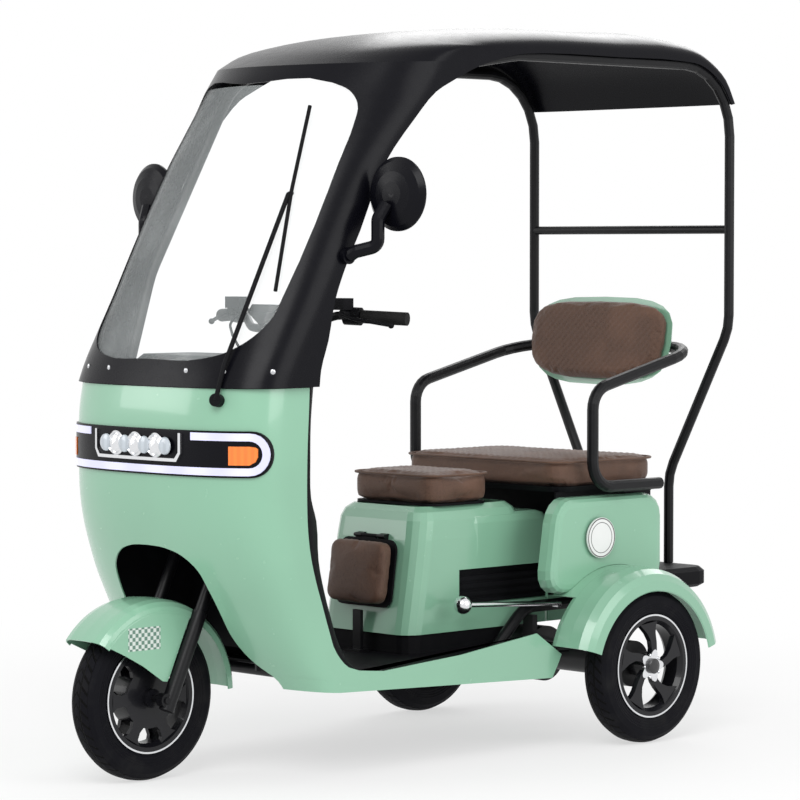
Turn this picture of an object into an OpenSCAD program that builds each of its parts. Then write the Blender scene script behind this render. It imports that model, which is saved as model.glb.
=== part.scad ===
// Three wheeled electric passenger scooter with a windshield, a roof and a rear bench.
// Millimetres. The front looks along -Y, +X is the rider's left, the ground is z = 0.
// Places inside the modules count Y from the rear axle; on_axle() moves them into the model's frame.

/* [Wheels and stance] */
// Distance between the front axle and the rear axle
wheelbase = 1384; // [1340:1:1440]
// Distance between the middles of the two rear tyres
track = 863; // [840:1:900]
// Outer radius of every tyre
tyre_r = 208; // [202:1:214]
// Half the width of a tyre at its widest
tyre_half_w = 40; // [34:1:44]
// Radius on which the tyre sits on its rim
rim_r = 133; // [125:1:140]
// Number of spokes in each rear rim
rear_spokes = 5; // [4:1:7]
// Number of spokes in the front rim
front_spokes = 6; // [4:1:8]
// Radius of the axle stubs that the wheels turn on
axle_r = 8; // [6:0.5:10]

/* [Steering] */
// Angle that the fork leans back from upright
rake = 25; // [22:0.5:28]
// How far the steering axis lies behind the front axle, square to the axis
fork_set_back = 18; // [12:1:24]
// Half the distance between the two fork legs
leg_x = 84; // [80:1:90]
// Radius of the lower fork legs
leg_r = 19; // [16:1:20]
// Radius of the steering stem
stem_r = 17; // [14:1:19]
// Radius of the handlebar tube
bar_r = 11; // [10:0.5:12.5]
// Radius of the front mudguard's crown about the front axle
mudguard_r = 250; // [245:1:258]

/* [Bodywork] */
// Thickness of the moulded panels
wall = 4; // [3:0.5:5]
// Half the width of the floor between the sills
floor_half_w = 361; // [350:1:361]
// Height of the floor's top face
floor_z = 262; // [258:1:266]
// Half the width of the rider's seat box
box_half_w = 172; // [160:1:176]
// Half the width of the rear side panels, outside
side_x = 335; // [325:1:338]
// Half the width of the body's core behind the side panels
core_x = 285; // [275:1:290]
// Radius of the rear fenders' crown
fender_r = 285; // [275:1:292]
// Outer edge of the rear fenders, from the middle
fender_x = 485; // [478:1:495]

/* [Seats] */
// Half the width of the rear bench
bench_half_w = 310; // [290:1:318]
// Height of the bench's seat from its plate to its top
bench_h = 74; // [60:1:80]
// Half the width of the rider's seat
seat_half_w = 165; // [150:1:170]
// Height of the rider's seat from its plate to its top
seat_h = 82; // [70:1:90]
// Half the width of the backrest
back_half_w = 262; // [240:1:280]
// Half the width of the small front seat
child_half_w = 108; // [95:1:115]

/* [Canopy] */
// Radius of the roof's tubes
pole_r = 14; // [12:0.5:16]
// Half the distance between the roof's side tubes
pole_x = 374; // [370:1:376]
// Place of the upright poles behind the rear axle
pole_y = 413; // [405:1:418]
// Radius of the armrest tubes
hoop_r = 16; // [14:0.5:18]
// Half the distance between the armrests
hoop_x = 341; // [336:1:350]
// Radius of a mirror's round head
mirror_r = 92; // [85:1:96]

/* [Hidden] */

mint = "#a3d4b6";
black = "#202124";
brown = "#6b4c3d";
silver = "#c8cacc";

// Gap between pieces that turn or slide in each other, and between soft and hard pieces
fit = 0.3;
// Steps in each quarter of a draped shell's section, and in each corner of a box
steps = 8;
corner_steps = 4;
round_fn = 48;

rear_axle_y = (wheelbase + tyre_r - pole_y - pole_r) / 2;
rail_x = 200;
rail_z = floor_z - 22;
brace_y = -1002;
brace_r = 18;
// Front of the brace at the height of the wheel housing's lug
brace_face = -1017.5;
plinth_z = 313;
seat_plate_z = 646;
bench_plate_z = 674;

function unit(v) = v / norm(v);

// A draped shell's section runs from its left edge over the middle to its right edge.
// Its row holds: middle y, middle z, shoulder y, shoulder z, edge y, edge z, half width, squareness.
function inward(row) = unit([row[2] - row[0], row[3] - row[1]]);
function span_point(row, inset, a) =
  let (w = row[6] - inset,
       middle = [row[0], row[1]] + inset * inward(row),
       across = pow(abs(sin(a)), 2 / row[7]),
       drop = 1 - pow(abs(cos(a)), 2 / row[7]))
  [w * across * sign(a),
   middle[0] + (row[2] - middle[0]) * drop,
   middle[1] + (row[3] - middle[1]) * drop];
function edge_point(row, inset, side) = [side * (row[6] - inset), row[4], row[5]];
function section(row, inset, last) = concat(
  last < steps ? [] : [edge_point(row, inset, -1)],
  [for (k = [-last : last]) span_point(row, inset, 90 * k / steps)],
  last < steps ? [] : [edge_point(row, inset, 1)]);

// Two triangles for a square patch, wound the other way round when turned is true
function patch(a, b, c, d, turned = false) =
  turned ? [[a, c, b], [a, d, c]] : [[a, b, c], [a, c, d]];

// A curved panel of even thickness, draped over a table of sections.
// last is the number of steps that it spans from the middle to each side.
// turned tells that the panel's outside faces backwards.
module draped_shell(rows, inset, thickness, last = steps, turned = false) {
  outer = [for (row = rows) section(row, inset, last)];
  inner = [for (row = rows) section(row, inset + thickness, last)];
  n = len(outer[0]);
  m = len(rows);
  o = function(i, j) i * n + j;
  p = function(i, j) m * n + i * n + j;
  faces = [
    for (i = [0 : m - 2], j = [0 : n - 2]) each concat(
      patch(o(i, j), o(i, j + 1), o(i + 1, j + 1), o(i + 1, j), turned),
      patch(p(i, j), p(i + 1, j), p(i + 1, j + 1), p(i, j + 1), turned)),
    for (i = [0 : m - 2]) each concat(
      patch(o(i, 0), o(i + 1, 0), p(i + 1, 0), p(i, 0), turned),
      patch(o(i, n - 1), p(i, n - 1), p(i + 1, n - 1), o(i + 1, n - 1), turned)),
    for (j = [0 : n - 2]) each concat(
      patch(o(0, j), p(0, j), p(0, j + 1), o(0, j + 1), turned),
      patch(o(m - 1, j), o(m - 1, j + 1), p(m - 1, j + 1), p(m - 1, j), turned))];
  polyhedron(points = concat([for (s = outer) each s], [for (s = inner) each s]),
    faces = faces, convexity = 8);
}

// A rectangle with round corners, as a ring of points at height z
function ring(z, y0, y1, half_w, r) = [
  for (c = [[1, y1 - r, 0], [-1, y1 - r, 90], [-1, y0 + r, 180], [1, y0 + r, 270]])
    for (k = [0 : corner_steps])
      let (a = c[2] + 90 * k / corner_steps)
      [c[0] * (half_w - r) + r * cos(a), c[1] + r * sin(a), z]];

// A solid through a stack of rings that run left round its path, closed at both ends
module ring_solid(rings) {
  n = len(rings[0]);
  m = len(rings);
  polyhedron(points = [for (r = rings) each r], convexity = 6, faces = concat(
    [[for (j = [0 : n - 1]) j], [for (j = [0 : n - 1]) m * n - 1 - j]],
    [for (i = [0 : m - 2], j = [0 : n - 1])
      each patch(i * n + j, i * n + (j + 1) % n, (i + 1) * n + (j + 1) % n, (i + 1) * n + j, true)]));
}

// A box with round upright edges and a softened top and bottom; rows hold z and inset
module soft_box(y0, y1, half_w, r, rows) {
  ring_solid([for (row = rows) ring(row[0], y0 + row[1], y1 - row[1], half_w - row[1], r - row[1])]);
}

module on_axle() translate([0, rear_axle_y, 0]) children();
module both_sides() {
  children();
  mirror([1, 0, 0]) children();
}
// Turns a piece drawn upright about the front axle to the fork's lean
module raked() translate([0, -wheelbase, tyre_r]) rotate([-rake, 0, 0]) children();
// A piece drawn along Z is laid along X
module along_x() rotate([90, 0, 90]) children();

module rod(a, b, r) {
  v = b - a;
  translate(a) rotate([0, acos(v[2] / norm(v)), atan2(v[1], v[0])])
    cylinder(r = r, h = norm(v), $fn = round_fn);
}

tube_sides = 12;
// Rings along each bend, one for about every 15 degrees
function turn_at(pts, i) = acos(unit(pts[i] - pts[i - 1]) * unit(pts[i + 1] - pts[i]));
// Points and directions along the round bend at point i
function bend_stations(pts, bends, i) =
  let (u = unit(pts[i] - pts[i - 1]),
       v = unit(pts[i + 1] - pts[i]),
       turn = turn_at(pts, i),
       towards = unit(v - (u * v) * u),
       start = pts[i] - u * bends[i] * tan(turn / 2),
       centre = start + towards * bends[i],
       count = max(2, ceil(turn / 15)))
  [for (k = [0 : count]) let (a = turn * k / count)
    [centre + bends[i] * (u * sin(a) - towards * cos(a)), u * cos(a) + towards * sin(a)]];
// A square direction carried along the tube without twisting it
function carried(dirs) = [
  for (i = 0, q = unit(cross(dirs[0], abs(dirs[0][2]) < 0.9 ? [0, 0, 1] : [1, 0, 0]));
       i < len(dirs);
       i = i + 1, q = i < len(dirs) ? unit(q - (q * dirs[i]) * dirs[i]) : q) q];

// A tube bent along points; bends holds the bend radius at each point
module bent_tube(pts, bends, r) {
  last = len(pts) - 1;
  stations = [
    [pts[0], unit(pts[1] - pts[0])],
    for (i = [1 : last - 1]) each bend_stations(pts, bends, i),
    [pts[last], unit(pts[last] - pts[last - 1])]];
  sideways = carried([for (s = stations) s[1]]);
  ring_solid([for (i = [0 : len(stations) - 1])
    let (p = stations[i][0], t = stations[i][1], q = sideways[i], w = cross(t, q))
    [for (k = [0 : tube_sides - 1]) let (a = 360 * k / tube_sides)
      p + r * (cos(a) * q + sin(a) * w)]]);
}

// Wheels

// Half outline of a tyre: radius, distance from its middle
lip = 6;
lip_w = 3.5;
rim_half_w = 34;
tyre_outline = [[rim_r, rim_half_w - lip_w - 2], [rim_r + lip + fit, rim_half_w - lip_w - fit],
  [rim_r + lip + 8, tyre_half_w - 4], [rim_r + 36, tyre_half_w], [tyre_r - 20, tyre_half_w - 2],
  [tyre_r - 7, tyre_half_w - 12], [tyre_r - 1, 14], [tyre_r, 0]];
module tyre() color(black) along_x() rotate_extrude($fn = 96) polygon(concat(
  [for (p = tyre_outline) p], [for (i = [len(tyre_outline) - 2 : -1 : 0])
    [tyre_outline[i][0], -tyre_outline[i][1]]]));

// Rim: a rolled well with two lips
module rim_barrel() along_x() rotate_extrude($fn = 96) polygon([
  [rim_r - 10, -rim_half_w], [rim_r + lip, -rim_half_w], [rim_r + lip, -rim_half_w + lip_w],
  [rim_r - fit, -rim_half_w + lip_w], [rim_r - fit, -24], [rim_r - 14, -12], [rim_r - 14, 12],
  [rim_r - fit, 24], [rim_r - fit, rim_half_w - lip_w], [rim_r + lip, rim_half_w - lip_w],
  [rim_r + lip, rim_half_w], [rim_r - 10, rim_half_w], [rim_r - 19, 20], [rim_r - 19, -20]]);

hub_r = 30;
spoke_face = 30;
// A spoke sweeps sideways as it runs out: radius, sweep, half its angle
swept_spoke = [[hub_r - 4, 0, 22], [46, 3, 13], [66, 10, 10], [88, 18, 10.5], [104, 22, 13],
  [rim_r - 12, 24, 16]];
straight_spoke = [[72, 0, 16], [90, 0, 9], [108, 0, 9], [rim_r - 12, 0, 13]];
module spoke(outline, thickness) translate([spoke_face - thickness, 0, 0]) along_x()
  linear_extrude(height = thickness) polygon(concat(
    [for (p = outline) p[0] * [cos(p[1] - p[2]), sin(p[1] - p[2])]],
    [for (i = [len(outline) - 1 : -1 : 0])
      outline[i][0] * [cos(outline[i][1] + outline[i][2]), sin(outline[i][1] + outline[i][2])]]));

module rear_rim() color(black) difference() {
  union() {
    rim_barrel();
    for (k = [0 : rear_spokes - 1]) rotate([k * 360 / rear_spokes, 0, 0]) spoke(swept_spoke, 16);
    along_x() translate([0, 0, -30]) cylinder(r = hub_r, h = 30 + spoke_face, $fn = round_fn);
    along_x() translate([0, 0, spoke_face]) cylinder(r = 20, h = 10, $fn = round_fn);
  }
  along_x() translate([0, 0, -31]) cylinder(r = axle_r + fit, h = 31 + spoke_face, $fn = round_fn);
}

module front_rim_body() color(black) difference() {
  union() {
    rim_barrel();
    both_sides() for (k = [0 : front_spokes - 1]) rotate([k * 360 / front_spokes, 0, 0])
      spoke(straight_spoke, 12);
    along_x() translate([0, 0, -spoke_face]) cylinder(r = 76, h = 2 * spoke_face, $fn = round_fn);
    along_x() translate([0, 0, -44]) cylinder(r = 24, h = 88, $fn = round_fn);
  }
  along_x() translate([0, 0, -45]) cylinder(r = axle_r + fit, h = 90, $fn = round_fn);
}

module at_front_wheel() translate([0, -wheelbase, tyre_r]) children();
module at_left_wheel() translate([track / 2, 0, tyre_r]) children();
module at_right_wheel() translate([-track / 2, 0, tyre_r]) mirror([1, 0, 0]) children();

module front_tyre() on_axle() at_front_wheel() tyre();
module front_rim() on_axle() at_front_wheel() front_rim_body();
module rear_tyre_left() on_axle() at_left_wheel() tyre();
module rear_rim_left() on_axle() at_left_wheel() rear_rim();
module rear_tyre_right() on_axle() at_right_wheel() tyre();
module rear_rim_right() on_axle() at_right_wheel() rear_rim();

// Chassis

// The fork's head tube, as lengths along the fork from the front axle
head_low = 500;
head_high = 765;
rail_r = 16;
cross_r = 14;
rear_rail_z = 362;
// Where the roof's front tubes stand inside the nose, on arms of the frame
front_pole_x = 338;
front_pole_y = -1150;
arm_z = 700;
arm_r = 11;
module frame() color(black) on_axle() difference() {
  union() {
    both_sides() bent_tube([[rail_x, -985, rail_z], [rail_x, -355, rail_z],
      [rail_x, -220, rear_rail_z], [rail_x, 375, rear_rail_z]], [0, 90, 90, 0], rail_r);
    for (y = [-985, -640, -355]) rod([-rail_x, y, rail_z], [rail_x, y, rail_z], cross_r);
    for (y = [62, 366]) rod([-rail_x, y, rear_rail_z], [rail_x, y, rear_rail_z], cross_r);
    raked() translate([0, fork_set_back, head_low])
      cylinder(r = stem_r + 11, h = head_high - head_low, $fn = round_fn);
    bent_tube([[0, -1100, 770], [0, brace_y, 690], [0, -986, rail_z]], [0, 90, 0], brace_r);
    both_sides() bent_tube([[0, brace_y, 675], [150, -1050, arm_z + 5],
      [front_pole_x, front_pole_y, arm_z]], [0, 60, 0], arm_r);
    both_sides() rod([rail_x, -700, rail_z], [floor_half_w - 20, -700, rail_z], arm_r);
  }
  raked() translate([0, fork_set_back, head_low - 1])
    cylinder(r = stem_r + fit, h = head_high - head_low + 2, $fn = round_fn);
}

floor_front = -985;
floor_back = -215;
floor_thickness = 6;
module floorboard() color(black) on_axle() difference() {
  union() {
    translate([-floor_half_w, floor_front, floor_z - floor_thickness])
      cube([2 * floor_half_w, floor_back - floor_front, floor_thickness]);
    ring_solid([for (z = [floor_z - 1, plinth_z]) ring(z, -622, floor_back - 1, box_half_w - 6, 44)]);
  }
  // Slots for the rails, which rise behind the floor, and for the brace in front
  both_sides() translate([rail_x - rail_r - 2, -396, floor_z - 10]) cube([2 * rail_r + 4, 200, 20]);
  translate([-brace_r - 2, floor_front - 1, floor_z - 10]) cube([2 * brace_r + 4, 24, 20]);
}

// Height of the lamp band's two edges, and of the cowl's top
band_low = 768;
band_high = 882;
nose_top = 984;
// Front cowl, from its top down to the sills that run back along the floor
cowl_rows = [
  [-1383, nose_top, -1207, nose_top, -1148, nose_top, 362.6, 2.6],
  [-1393, 920, -1215, 920, -1153, 920, 365, 2.6],
  [-1395, band_high + 4, -1217, band_high + 4, -1156, band_high + 4, 366, 2.6],
  [-1395, band_low - 4, -1217, band_low - 4, -1160, band_low - 4, 366, 2.6],
  [-1392, 700, -1215, 700, -1160, 700, 366, 2.6],
  [-1380, 632, -1205, 632, -1157, 632, 366, 2.6],
  [-1360, 569, -1190, 569, -1148, 569, 366, 2.6],
  [-1335, 503, -1170, 503, -1130, 503, 366, 2.6],
  [-1305, 443, -1145, 443, -1109, 443, 366, 2.6],
  [-1270, 380, -1120, 380, -1087, 380, 366, 2.6],
  [-1230, 320, -1090, 320, -1060, 320, 366, 2.6],
  [-1205, 290, -1080, 285, -1020, 283, 366, 2.6],
  [-1190, 270, -1070, 262, -900, 264, 366, 2.6],
  [-1180, 255, -1060, 245, -250, 252, 366, 2.6],
  [-1165, 232, -1050, 222, -285, 192, 366, 2.6]];

// Half outline of the wheel arch in the nose: half width, height
arch = [[262, 200], [255, 250], [212, 295], [188, 350], [182, 430], [176, 480], [162, 530],
  [122, 566], [64, 584], [0, 588]];
// A front view outline from its half, whose last point lies in the middle
module mirrored_outline(half) polygon(concat(half,
  [for (i = [len(half) - 2 : -1 : 0]) [-half[i][0], half[i][1]]]));

// Cuts a front view outline straight through the nose
module through_front(y_back) translate([0, y_back, 0]) rotate([90, 0, 0])
  linear_extrude(height = 700) children();

module front_cowl() color(mint) on_axle() difference() {
  draped_shell(cowl_rows, 0, wall);
  through_front(-1000) mirrored_outline(arch);
}

// Leg shield behind the cowl: its middle bulges back over the steering column
shield_rows = [
  [-940, nose_top, -1140, nose_top, -1152, nose_top, 357.5, 1.3],
  [-962, 900, -1148, 900, -1162, 900, 360, 1.3],
  [-970, 800, -1150, 800, -1166, 800, 361, 1.3],
  [-972, 710, -1150, 710, -1166, 710, 361, 1.35],
  [-968, 650, -1148, 650, -1164, 650, 361, 1.6],
  [-966, 550, -1138, 550, -1154, 550, 361, 1.6],
  [-962, 470, -1112, 470, -1129, 470, 361, 1.6],
  [-956, 400, -1088, 400, -1104, 400, 361, 1.7],
  [-950, 340, -1062, 340, -1079, 340, 361, 1.8],
  [-940, 295, -1030, 295, -1048, 295, 361, 2.0],
  [-925, floor_z + fit, -982, floor_z + fit, -1000, floor_z + fit, 361, 2.2]];
module leg_shield() color(black) on_axle() draped_shell(shield_rows, 0, wall, turned = true);

stem_hole_r = 40;
module dashboard() color(black) on_axle() difference() {
  union() {
    translate([0, 0, nose_top + fit]) linear_extrude(height = 5) polygon(concat(
      [for (k = [-steps : steps]) let (p = span_point(windshield_rows[0], wall + 2, 90 * k / steps))
        [p[0], p[1]]],
      [for (k = [steps : -1 : -steps]) let (p = span_point(shield_rows[0], 0, 90 * k / steps))
        [p[0], p[1]]]));
    ring_solid([ring(988, -1262, -1040, 214, 40), ring(1040, -1258, -1050, 205, 40),
      ring(1058, -1240, -1064, 185, 30)]);
  }
  translate([0, stem_y(988), 960]) cylinder(r = stem_hole_r, h = 120, $fn = round_fn);
  both_sides() translate([front_pole_x, front_pole_y, 960])
    cylinder(r = pole_r + 2, h = 60, $fn = round_fn);
}
function stem_y(z) = -wheelbase + fork_set_back / cos(rake) + (z - tyre_r) * tan(rake);

liner_x = 218;
liner_top = 668;
liner_back = -1030;
// Section of the wheel's housing, grown inwards by m: upright walls under a flat roof with round shoulders
module housing_outline(m) mirrored_outline([[liner_x - m, 300 - m], [liner_x - m, liner_top - 55],
  [liner_x - 8 - m / 2, liner_top - 25 - m / 2], [liner_x - 36 - m / 2, liner_top - m],
  [0, liner_top - m]]);
// A lug behind the housing rests on the frame's brace: half width, low, height
liner_lug = [14, 600, 20];
module wheel_arch_liner() color(black) on_axle() {
  translate([-liner_lug[0], liner_back - 1, liner_lug[1]])
    cube([2 * liner_lug[0], brace_face - fit - liner_back + 1, liner_lug[2]]);
  wheel_housing();
}
module wheel_housing() difference() {
  through_front(liner_back) housing_outline(0);
  through_front(liner_back - wall) housing_outline(wall);
  // Its front edge follows the nose
  translate([-300, 0, 0]) rotate([90, 0, 90]) linear_extrude(height = 600)
    polygon([[-1190, 290], [-1190, 300], [-1268, 438], [-1330, 600], [-1345, 690],
      [-1800, 690], [-1800, 290]]);
  translate([0, stem_y(liner_top - 12), 560]) cylinder(r = stem_r + 25, h = 140, $fn = round_fn);
}

// Lamps in the nose are ribbons that lie on the cowl and wrap round its corners.
// s is the length along the nose from its middle, out the distance in front of the cowl.
function nose_row(z) = [for (c = [0 : 7])
  c == 1 || c == 3 || c == 5 ? z : lookup(z, [for (row = cowl_rows) [row[1], row[c]]])];
function nose_corners(z, out) = [for (k = [0 : steps]) span_point(nose_row(z), -out, 90 * k / steps)];
function running_lengths(pts) = [for (i = 0, s = 0; i < len(pts);
  s = s + (i + 1 < len(pts) ? norm(pts[i + 1] - pts[i]) : 0), i = i + 1) s];
function nose_at(s, z, out) =
  let (pts = nose_corners(z, out), lengths = running_lengths(pts), k = [0 : steps])
  [sign(s) * lookup(abs(s), [for (i = k) [lengths[i], pts[i][0]]]),
   lookup(abs(s), [for (i = k) [lengths[i], pts[i][1]]]), z];
corner_lengths = running_lengths(nose_corners(825, 0));
// Stops along the nose from s0 to s1, with one at each corner of the cowl between them
function stops(s0, s1) = concat([s0],
  [for (i = [steps : -1 : 1]) if (-corner_lengths[i] > s0 && -corner_lengths[i] < s1) -corner_lengths[i]],
  [for (i = [0 : steps]) if (corner_lengths[i] > s0 && corner_lengths[i] < s1) corner_lengths[i]], [s1]);

// A ribbon through pairs of places [s, z], the first of each pair along its lower edge
module nose_ribbon(pairs, out, thickness) {
  n = len(pairs);
  points = [for (d = [out + thickness, out], e = [0, 1], p = pairs) nose_at(p[e][0], p[e][1], d)];
  polyhedron(points = points, convexity = 6, faces = [
    for (i = [0 : n - 2]) each concat(
      patch(i, n + i, n + i + 1, i + 1), patch(2 * n + i, 2 * n + i + 1, 3 * n + i + 1, 3 * n + i),
      patch(i, i + 1, 2 * n + i + 1, 2 * n + i), patch(n + i, 3 * n + i, 3 * n + i + 1, n + i + 1)),
    each patch(0, 2 * n, 3 * n, n), each patch(n - 1, 2 * n - 1, 4 * n - 1, 3 * n - 1)]);
}

// Length along the nose from its middle to the band's tip
band_tip = 412;
band_proud = 6;
band_gap = 0.8;
band_mid = (band_low + band_high) / 2;
band_r = (band_high - band_low) / 2;
tip_centre = band_tip - band_r;
tip_angles = [0 : 15 : 75];
module lamp_band() color(black) on_axle() nose_ribbon([
  for (a = [75 : -15 : 0]) [[-tip_centre - band_r * sin(a), band_mid - band_r * cos(a)],
    [-tip_centre - band_r * sin(a), band_mid + band_r * cos(a)]],
  for (s = stops(-tip_centre + 1, tip_centre - 1)) [[s, band_low], [s, band_high]],
  for (a = tip_angles) [[tip_centre + band_r * sin(a), band_mid - band_r * cos(a)],
    [tip_centre + band_r * sin(a), band_mid + band_r * cos(a)]]], band_gap, band_proud - band_gap);

// The light guide runs along the band's foot and round its tips, and ends above at guide_end
guide_edge = 5;
lens_gap = 0.8;
guide_w = 19;
guide_end = 195;
function guide_pair(s, a) = [for (r = [band_r - guide_edge, band_r - guide_edge - guide_w])
  [s + r * cos(a), band_mid + r * sin(a)]];
guide_high = [band_high - guide_edge, band_high - guide_edge - guide_w];
guide_low = [band_low + guide_edge, band_low + guide_edge + guide_w];
half_guide = [
  for (s = stops(guide_end, tip_centre)) [for (z = guide_high) [s, z]],
  for (a = [75 : -15 : -75]) guide_pair(tip_centre, a)];
module light_guide() color("#c9d2ee") on_axle() nose_ribbon(concat(half_guide,
  [for (s = stops(-tip_centre, tip_centre)) [for (z = guide_low) [-s, z]]],
  [for (i = [len(half_guide) - 1 : -1 : 0]) [for (p = half_guide[i]) [-p[0], p[1]]]]),
  band_proud + lens_gap, 2.5);

module front_indicators() color("orange") on_axle() both_sides() nose_ribbon([
  for (s = stops(tip_centre - 52, tip_centre)) [[s, band_mid - 26], [s, band_mid + 20]],
  [[tip_centre + 14, band_mid - 18], [tip_centre + 14, band_mid + 18]],
  [[tip_centre + 20, band_mid - 6], [tip_centre + 20, band_mid + 14]]], band_proud + lens_gap, 2.5);

lamp_pitch = 76;
lamp_z = 841;
frame_s = 166;
// Bright frame about the three lamps: a foot and two uprights
frame_path = [[[-frame_s, 874], [-frame_s + 8, 874]], [[-frame_s, 824], [-frame_s + 8, 826]],
  [[-frame_s + 14, 803], [-frame_s + 20, 811]],
  each [for (s = stops(-frame_s + 30, frame_s - 30)) [[s, 803], [s, 811]]],
  [[frame_s - 14, 803], [frame_s - 20, 811]], [[frame_s, 824], [frame_s - 8, 826]],
  [[frame_s, 874], [frame_s - 8, 874]]];
module head_lamps() color(silver) on_axle() {
  for (k = [-1 : 1]) translate(nose_at(k * lamp_pitch, lamp_z, band_proud + 1)) rotate([90, 0, 0])
    rotate_extrude($fn = round_fn)
      polygon([[0, 0], [31, 0], [31, 4], [27, 8], [24, 5], [20, 9], [12, 13], [0, 15]]);
  nose_ribbon(frame_path, band_proud + lens_gap, 6);
}

// Windshield frame and roof: the sections fan from level to upright over the brow
brow_row = [-1000, 1790, -695, 1800, -662, 1757, 383, 1.85];
windshield_rows = [
  [-1387, 986, -1212, 986, -1127, 986, 376, 2.6],
  [-1372, 1026, -1197, 1026, -1122, 1026, 376, 2.55],
  [-1340, 1100, -1160, 1100, -1097, 1100, 376, 2.4],
  [-1293, 1200, -1105, 1200, -1074, 1200, 376, 2.25],
  [-1250, 1293, -1055, 1293, -1033, 1293, 376, 2.2],
  [-1214, 1370, -1008, 1370, -990, 1370, 376, 2.2],
  [-1134, 1540, -912, 1540, -904, 1540, 376, 2.0],
  [-1078, 1660, -814, 1655, -804, 1652, 378, 1.9],
  [-1040, 1740, -742, 1730, -730, 1722, 380, 1.85],
  brow_row];
roof_rows = [
  brow_row,
  [-900, 1830, -630, 1835, -595, 1787, 387, 2.0],
  [-745, 1869, -530, 1842, -512, 1812, 391, 2.2],
  [-566, 1895, -440, 1844, -436, 1828, 394, 2.4],
  [-400, 1909, -340, 1846, -338, 1834, 394, 2.5],
  [-60, 1916, -60, 1847, -60, 1835, 394, 2.5],
  [200, 1914, 200, 1846, 198, 1834, 394, 2.5],
  [285, 1896, 270, 1838, 267, 1827, 394, 2.5],
  [347, 1860, 322, 1816, 317, 1806, 394, 2.6],
  [396, 1809, 369, 1781, 361, 1773, 395, 2.9],
  [428, 1724, 408, 1725, 398, 1722, 395, 3.2]];
// Half outline of the window in front view: half width, height
window = [[0, 1052], [190, 1056], [250, 1072], [294, 1102], [322, 1146], [328, 1210], [328, 1560],
  [322, 1630], [308, 1690], [282, 1722], [240, 1742], [0, 1744]];
module windshield_frame() color(black) on_axle() difference() {
  draped_shell(windshield_rows, 0, wall);
  through_front(-860) mirrored_outline(window);
}
glass_thickness = 4;
module windshield_glass() color([0.8, 0.9, 1, 0.3]) on_axle()
  draped_shell([for (i = [1 : len(windshield_rows) - 2]) windshield_rows[i]], wall + fit,
    glass_thickness, last = steps - 2);
module roof_panel() color(black) on_axle() draped_shell(roof_rows, 0, wall);

// Tubes that carry the roof: down the pillars in front, down to the bumper behind
rail_top = 1826;
crossbar_r = 12;
module canopy_tubes() color(black) on_axle() {
  both_sides() bent_tube([[front_pole_x, front_pole_y, arm_z + arm_r + fit],
    [front_pole_x, front_pole_y, 1010], [pole_x - 24, -1062, 1260], [pole_x - 23, -768, 1775],
    [pole_x, -430, rail_top], [pole_x, pole_y, rail_top], [pole_x, pole_y, 1105],
    [163, pole_y - 10, 692], [163, pole_y - 10, bumper_top + fit]],
    [0, 200, 300, 160, 200, 190, 150, 150, 0], pole_r);
  rod([-pole_x, pole_y, 1379], [pole_x, pole_y, 1379], crossbar_r);
}

// The wiper turns on a boss that stands square on the nose
wiper_foot = nose_at(264, 955, 0);
wiper_out = unit([0.36, -0.93, 0.15]);
module wiper() color(black) on_axle() {
  rod(wiper_foot + wiper_out, wiper_foot + 22 * wiper_out, 16);
  bent_tube([wiper_foot + 18 * wiper_out, [270, -1346, 1040], [276, -1316, 1110],
    [264, -1129, 1460], [262, -1115, 1464]], [0, 60, 60, 6, 0], 6);
  bent_tube([[324, -1226, 1222], [266, -1120, 1470], [234, -1029, 1682]], [0, 400, 0], 5);
}

mirror_foot = [376.5, -1040, 1308];
module mirrors() color(black) on_axle() both_sides() {
  bent_tube([mirror_foot + [12, 2, 0], [404, -1034, 1318], [450, -1000, 1332], [450, -1000, 1398],
    [460, -980, 1436]], [0, 18, 22, 22, 0], 17);
  translate(mirror_foot) rotate([0, 90, 0]) cylinder(r = 21, h = 14, $fn = round_fn);
  translate([471, -961, 1460]) rotate([-90, 0, 4]) translate([0, 0, -16]) rotate_extrude($fn = round_fn)
    polygon([[0, 0], [30, 1], [56, 5], [mirror_r - 12, 13], [mirror_r, 24], [mirror_r, 29],
      [mirror_r - 6, 31], [0, 31]]);
}

// Rider's seat box: height, front, rear, half width, corner radius
box_rows = [[plinth_z + fit, -630, -184, 0, 50], [470, -604, -184, 0, 50], [560, -590, -184, 1, 50],
  [610, -581, -187, 4, 50], [632, -571, -197, 14, 46], [seat_plate_z - fit, -553, -214, 31, 40]];
// The box runs on to the rear under the bench, with a round upper corner: height, rear, inset
tail_rows = [[plinth_z + fit, -80, 0.4], [573, -80, 0.4], [595, -86, 0.6], [612, -102, 4], [618, -125, 14]];
tail_front = -400;
box_wall = 5;
recess_x = 150;
module seat_box() color(mint) on_axle() {
  difference() {
    union() {
      ring_solid([for (b = box_rows) ring(b[0], b[1], b[2], box_half_w - b[3], b[4])]);
      ring_solid([for (t = tail_rows) ring(t[0], tail_front, t[1], box_half_w - t[2], 30 - t[2])]);
    }
    difference() {
      union() {
        ring_solid([
          ring(plinth_z + 2 * box_wall, -624, -190, box_half_w - box_wall, 45),
          ring(600, -577, -191, box_half_w - box_wall - 3, 45),
          ring(seat_plate_z + 1, -545, -222, box_half_w - 40, 34)]);
        ring_solid([
          ring(plinth_z + 2 * box_wall + 1, tail_front, -86, box_half_w - box_wall - 1, 25),
          ring(572, tail_front, -86, box_half_w - box_wall - 1, 25),
          ring(611, tail_front, -128, box_half_w - box_wall - 16, 12)]);
      }
      both_sides() recess(box_wall);
    }
    both_sides() recess(0);
  }
  both_sides() translate([box_half_w - box_wall, -100, plinth_z + fit]) cube([box_wall, 142, 70]);
}
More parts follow.
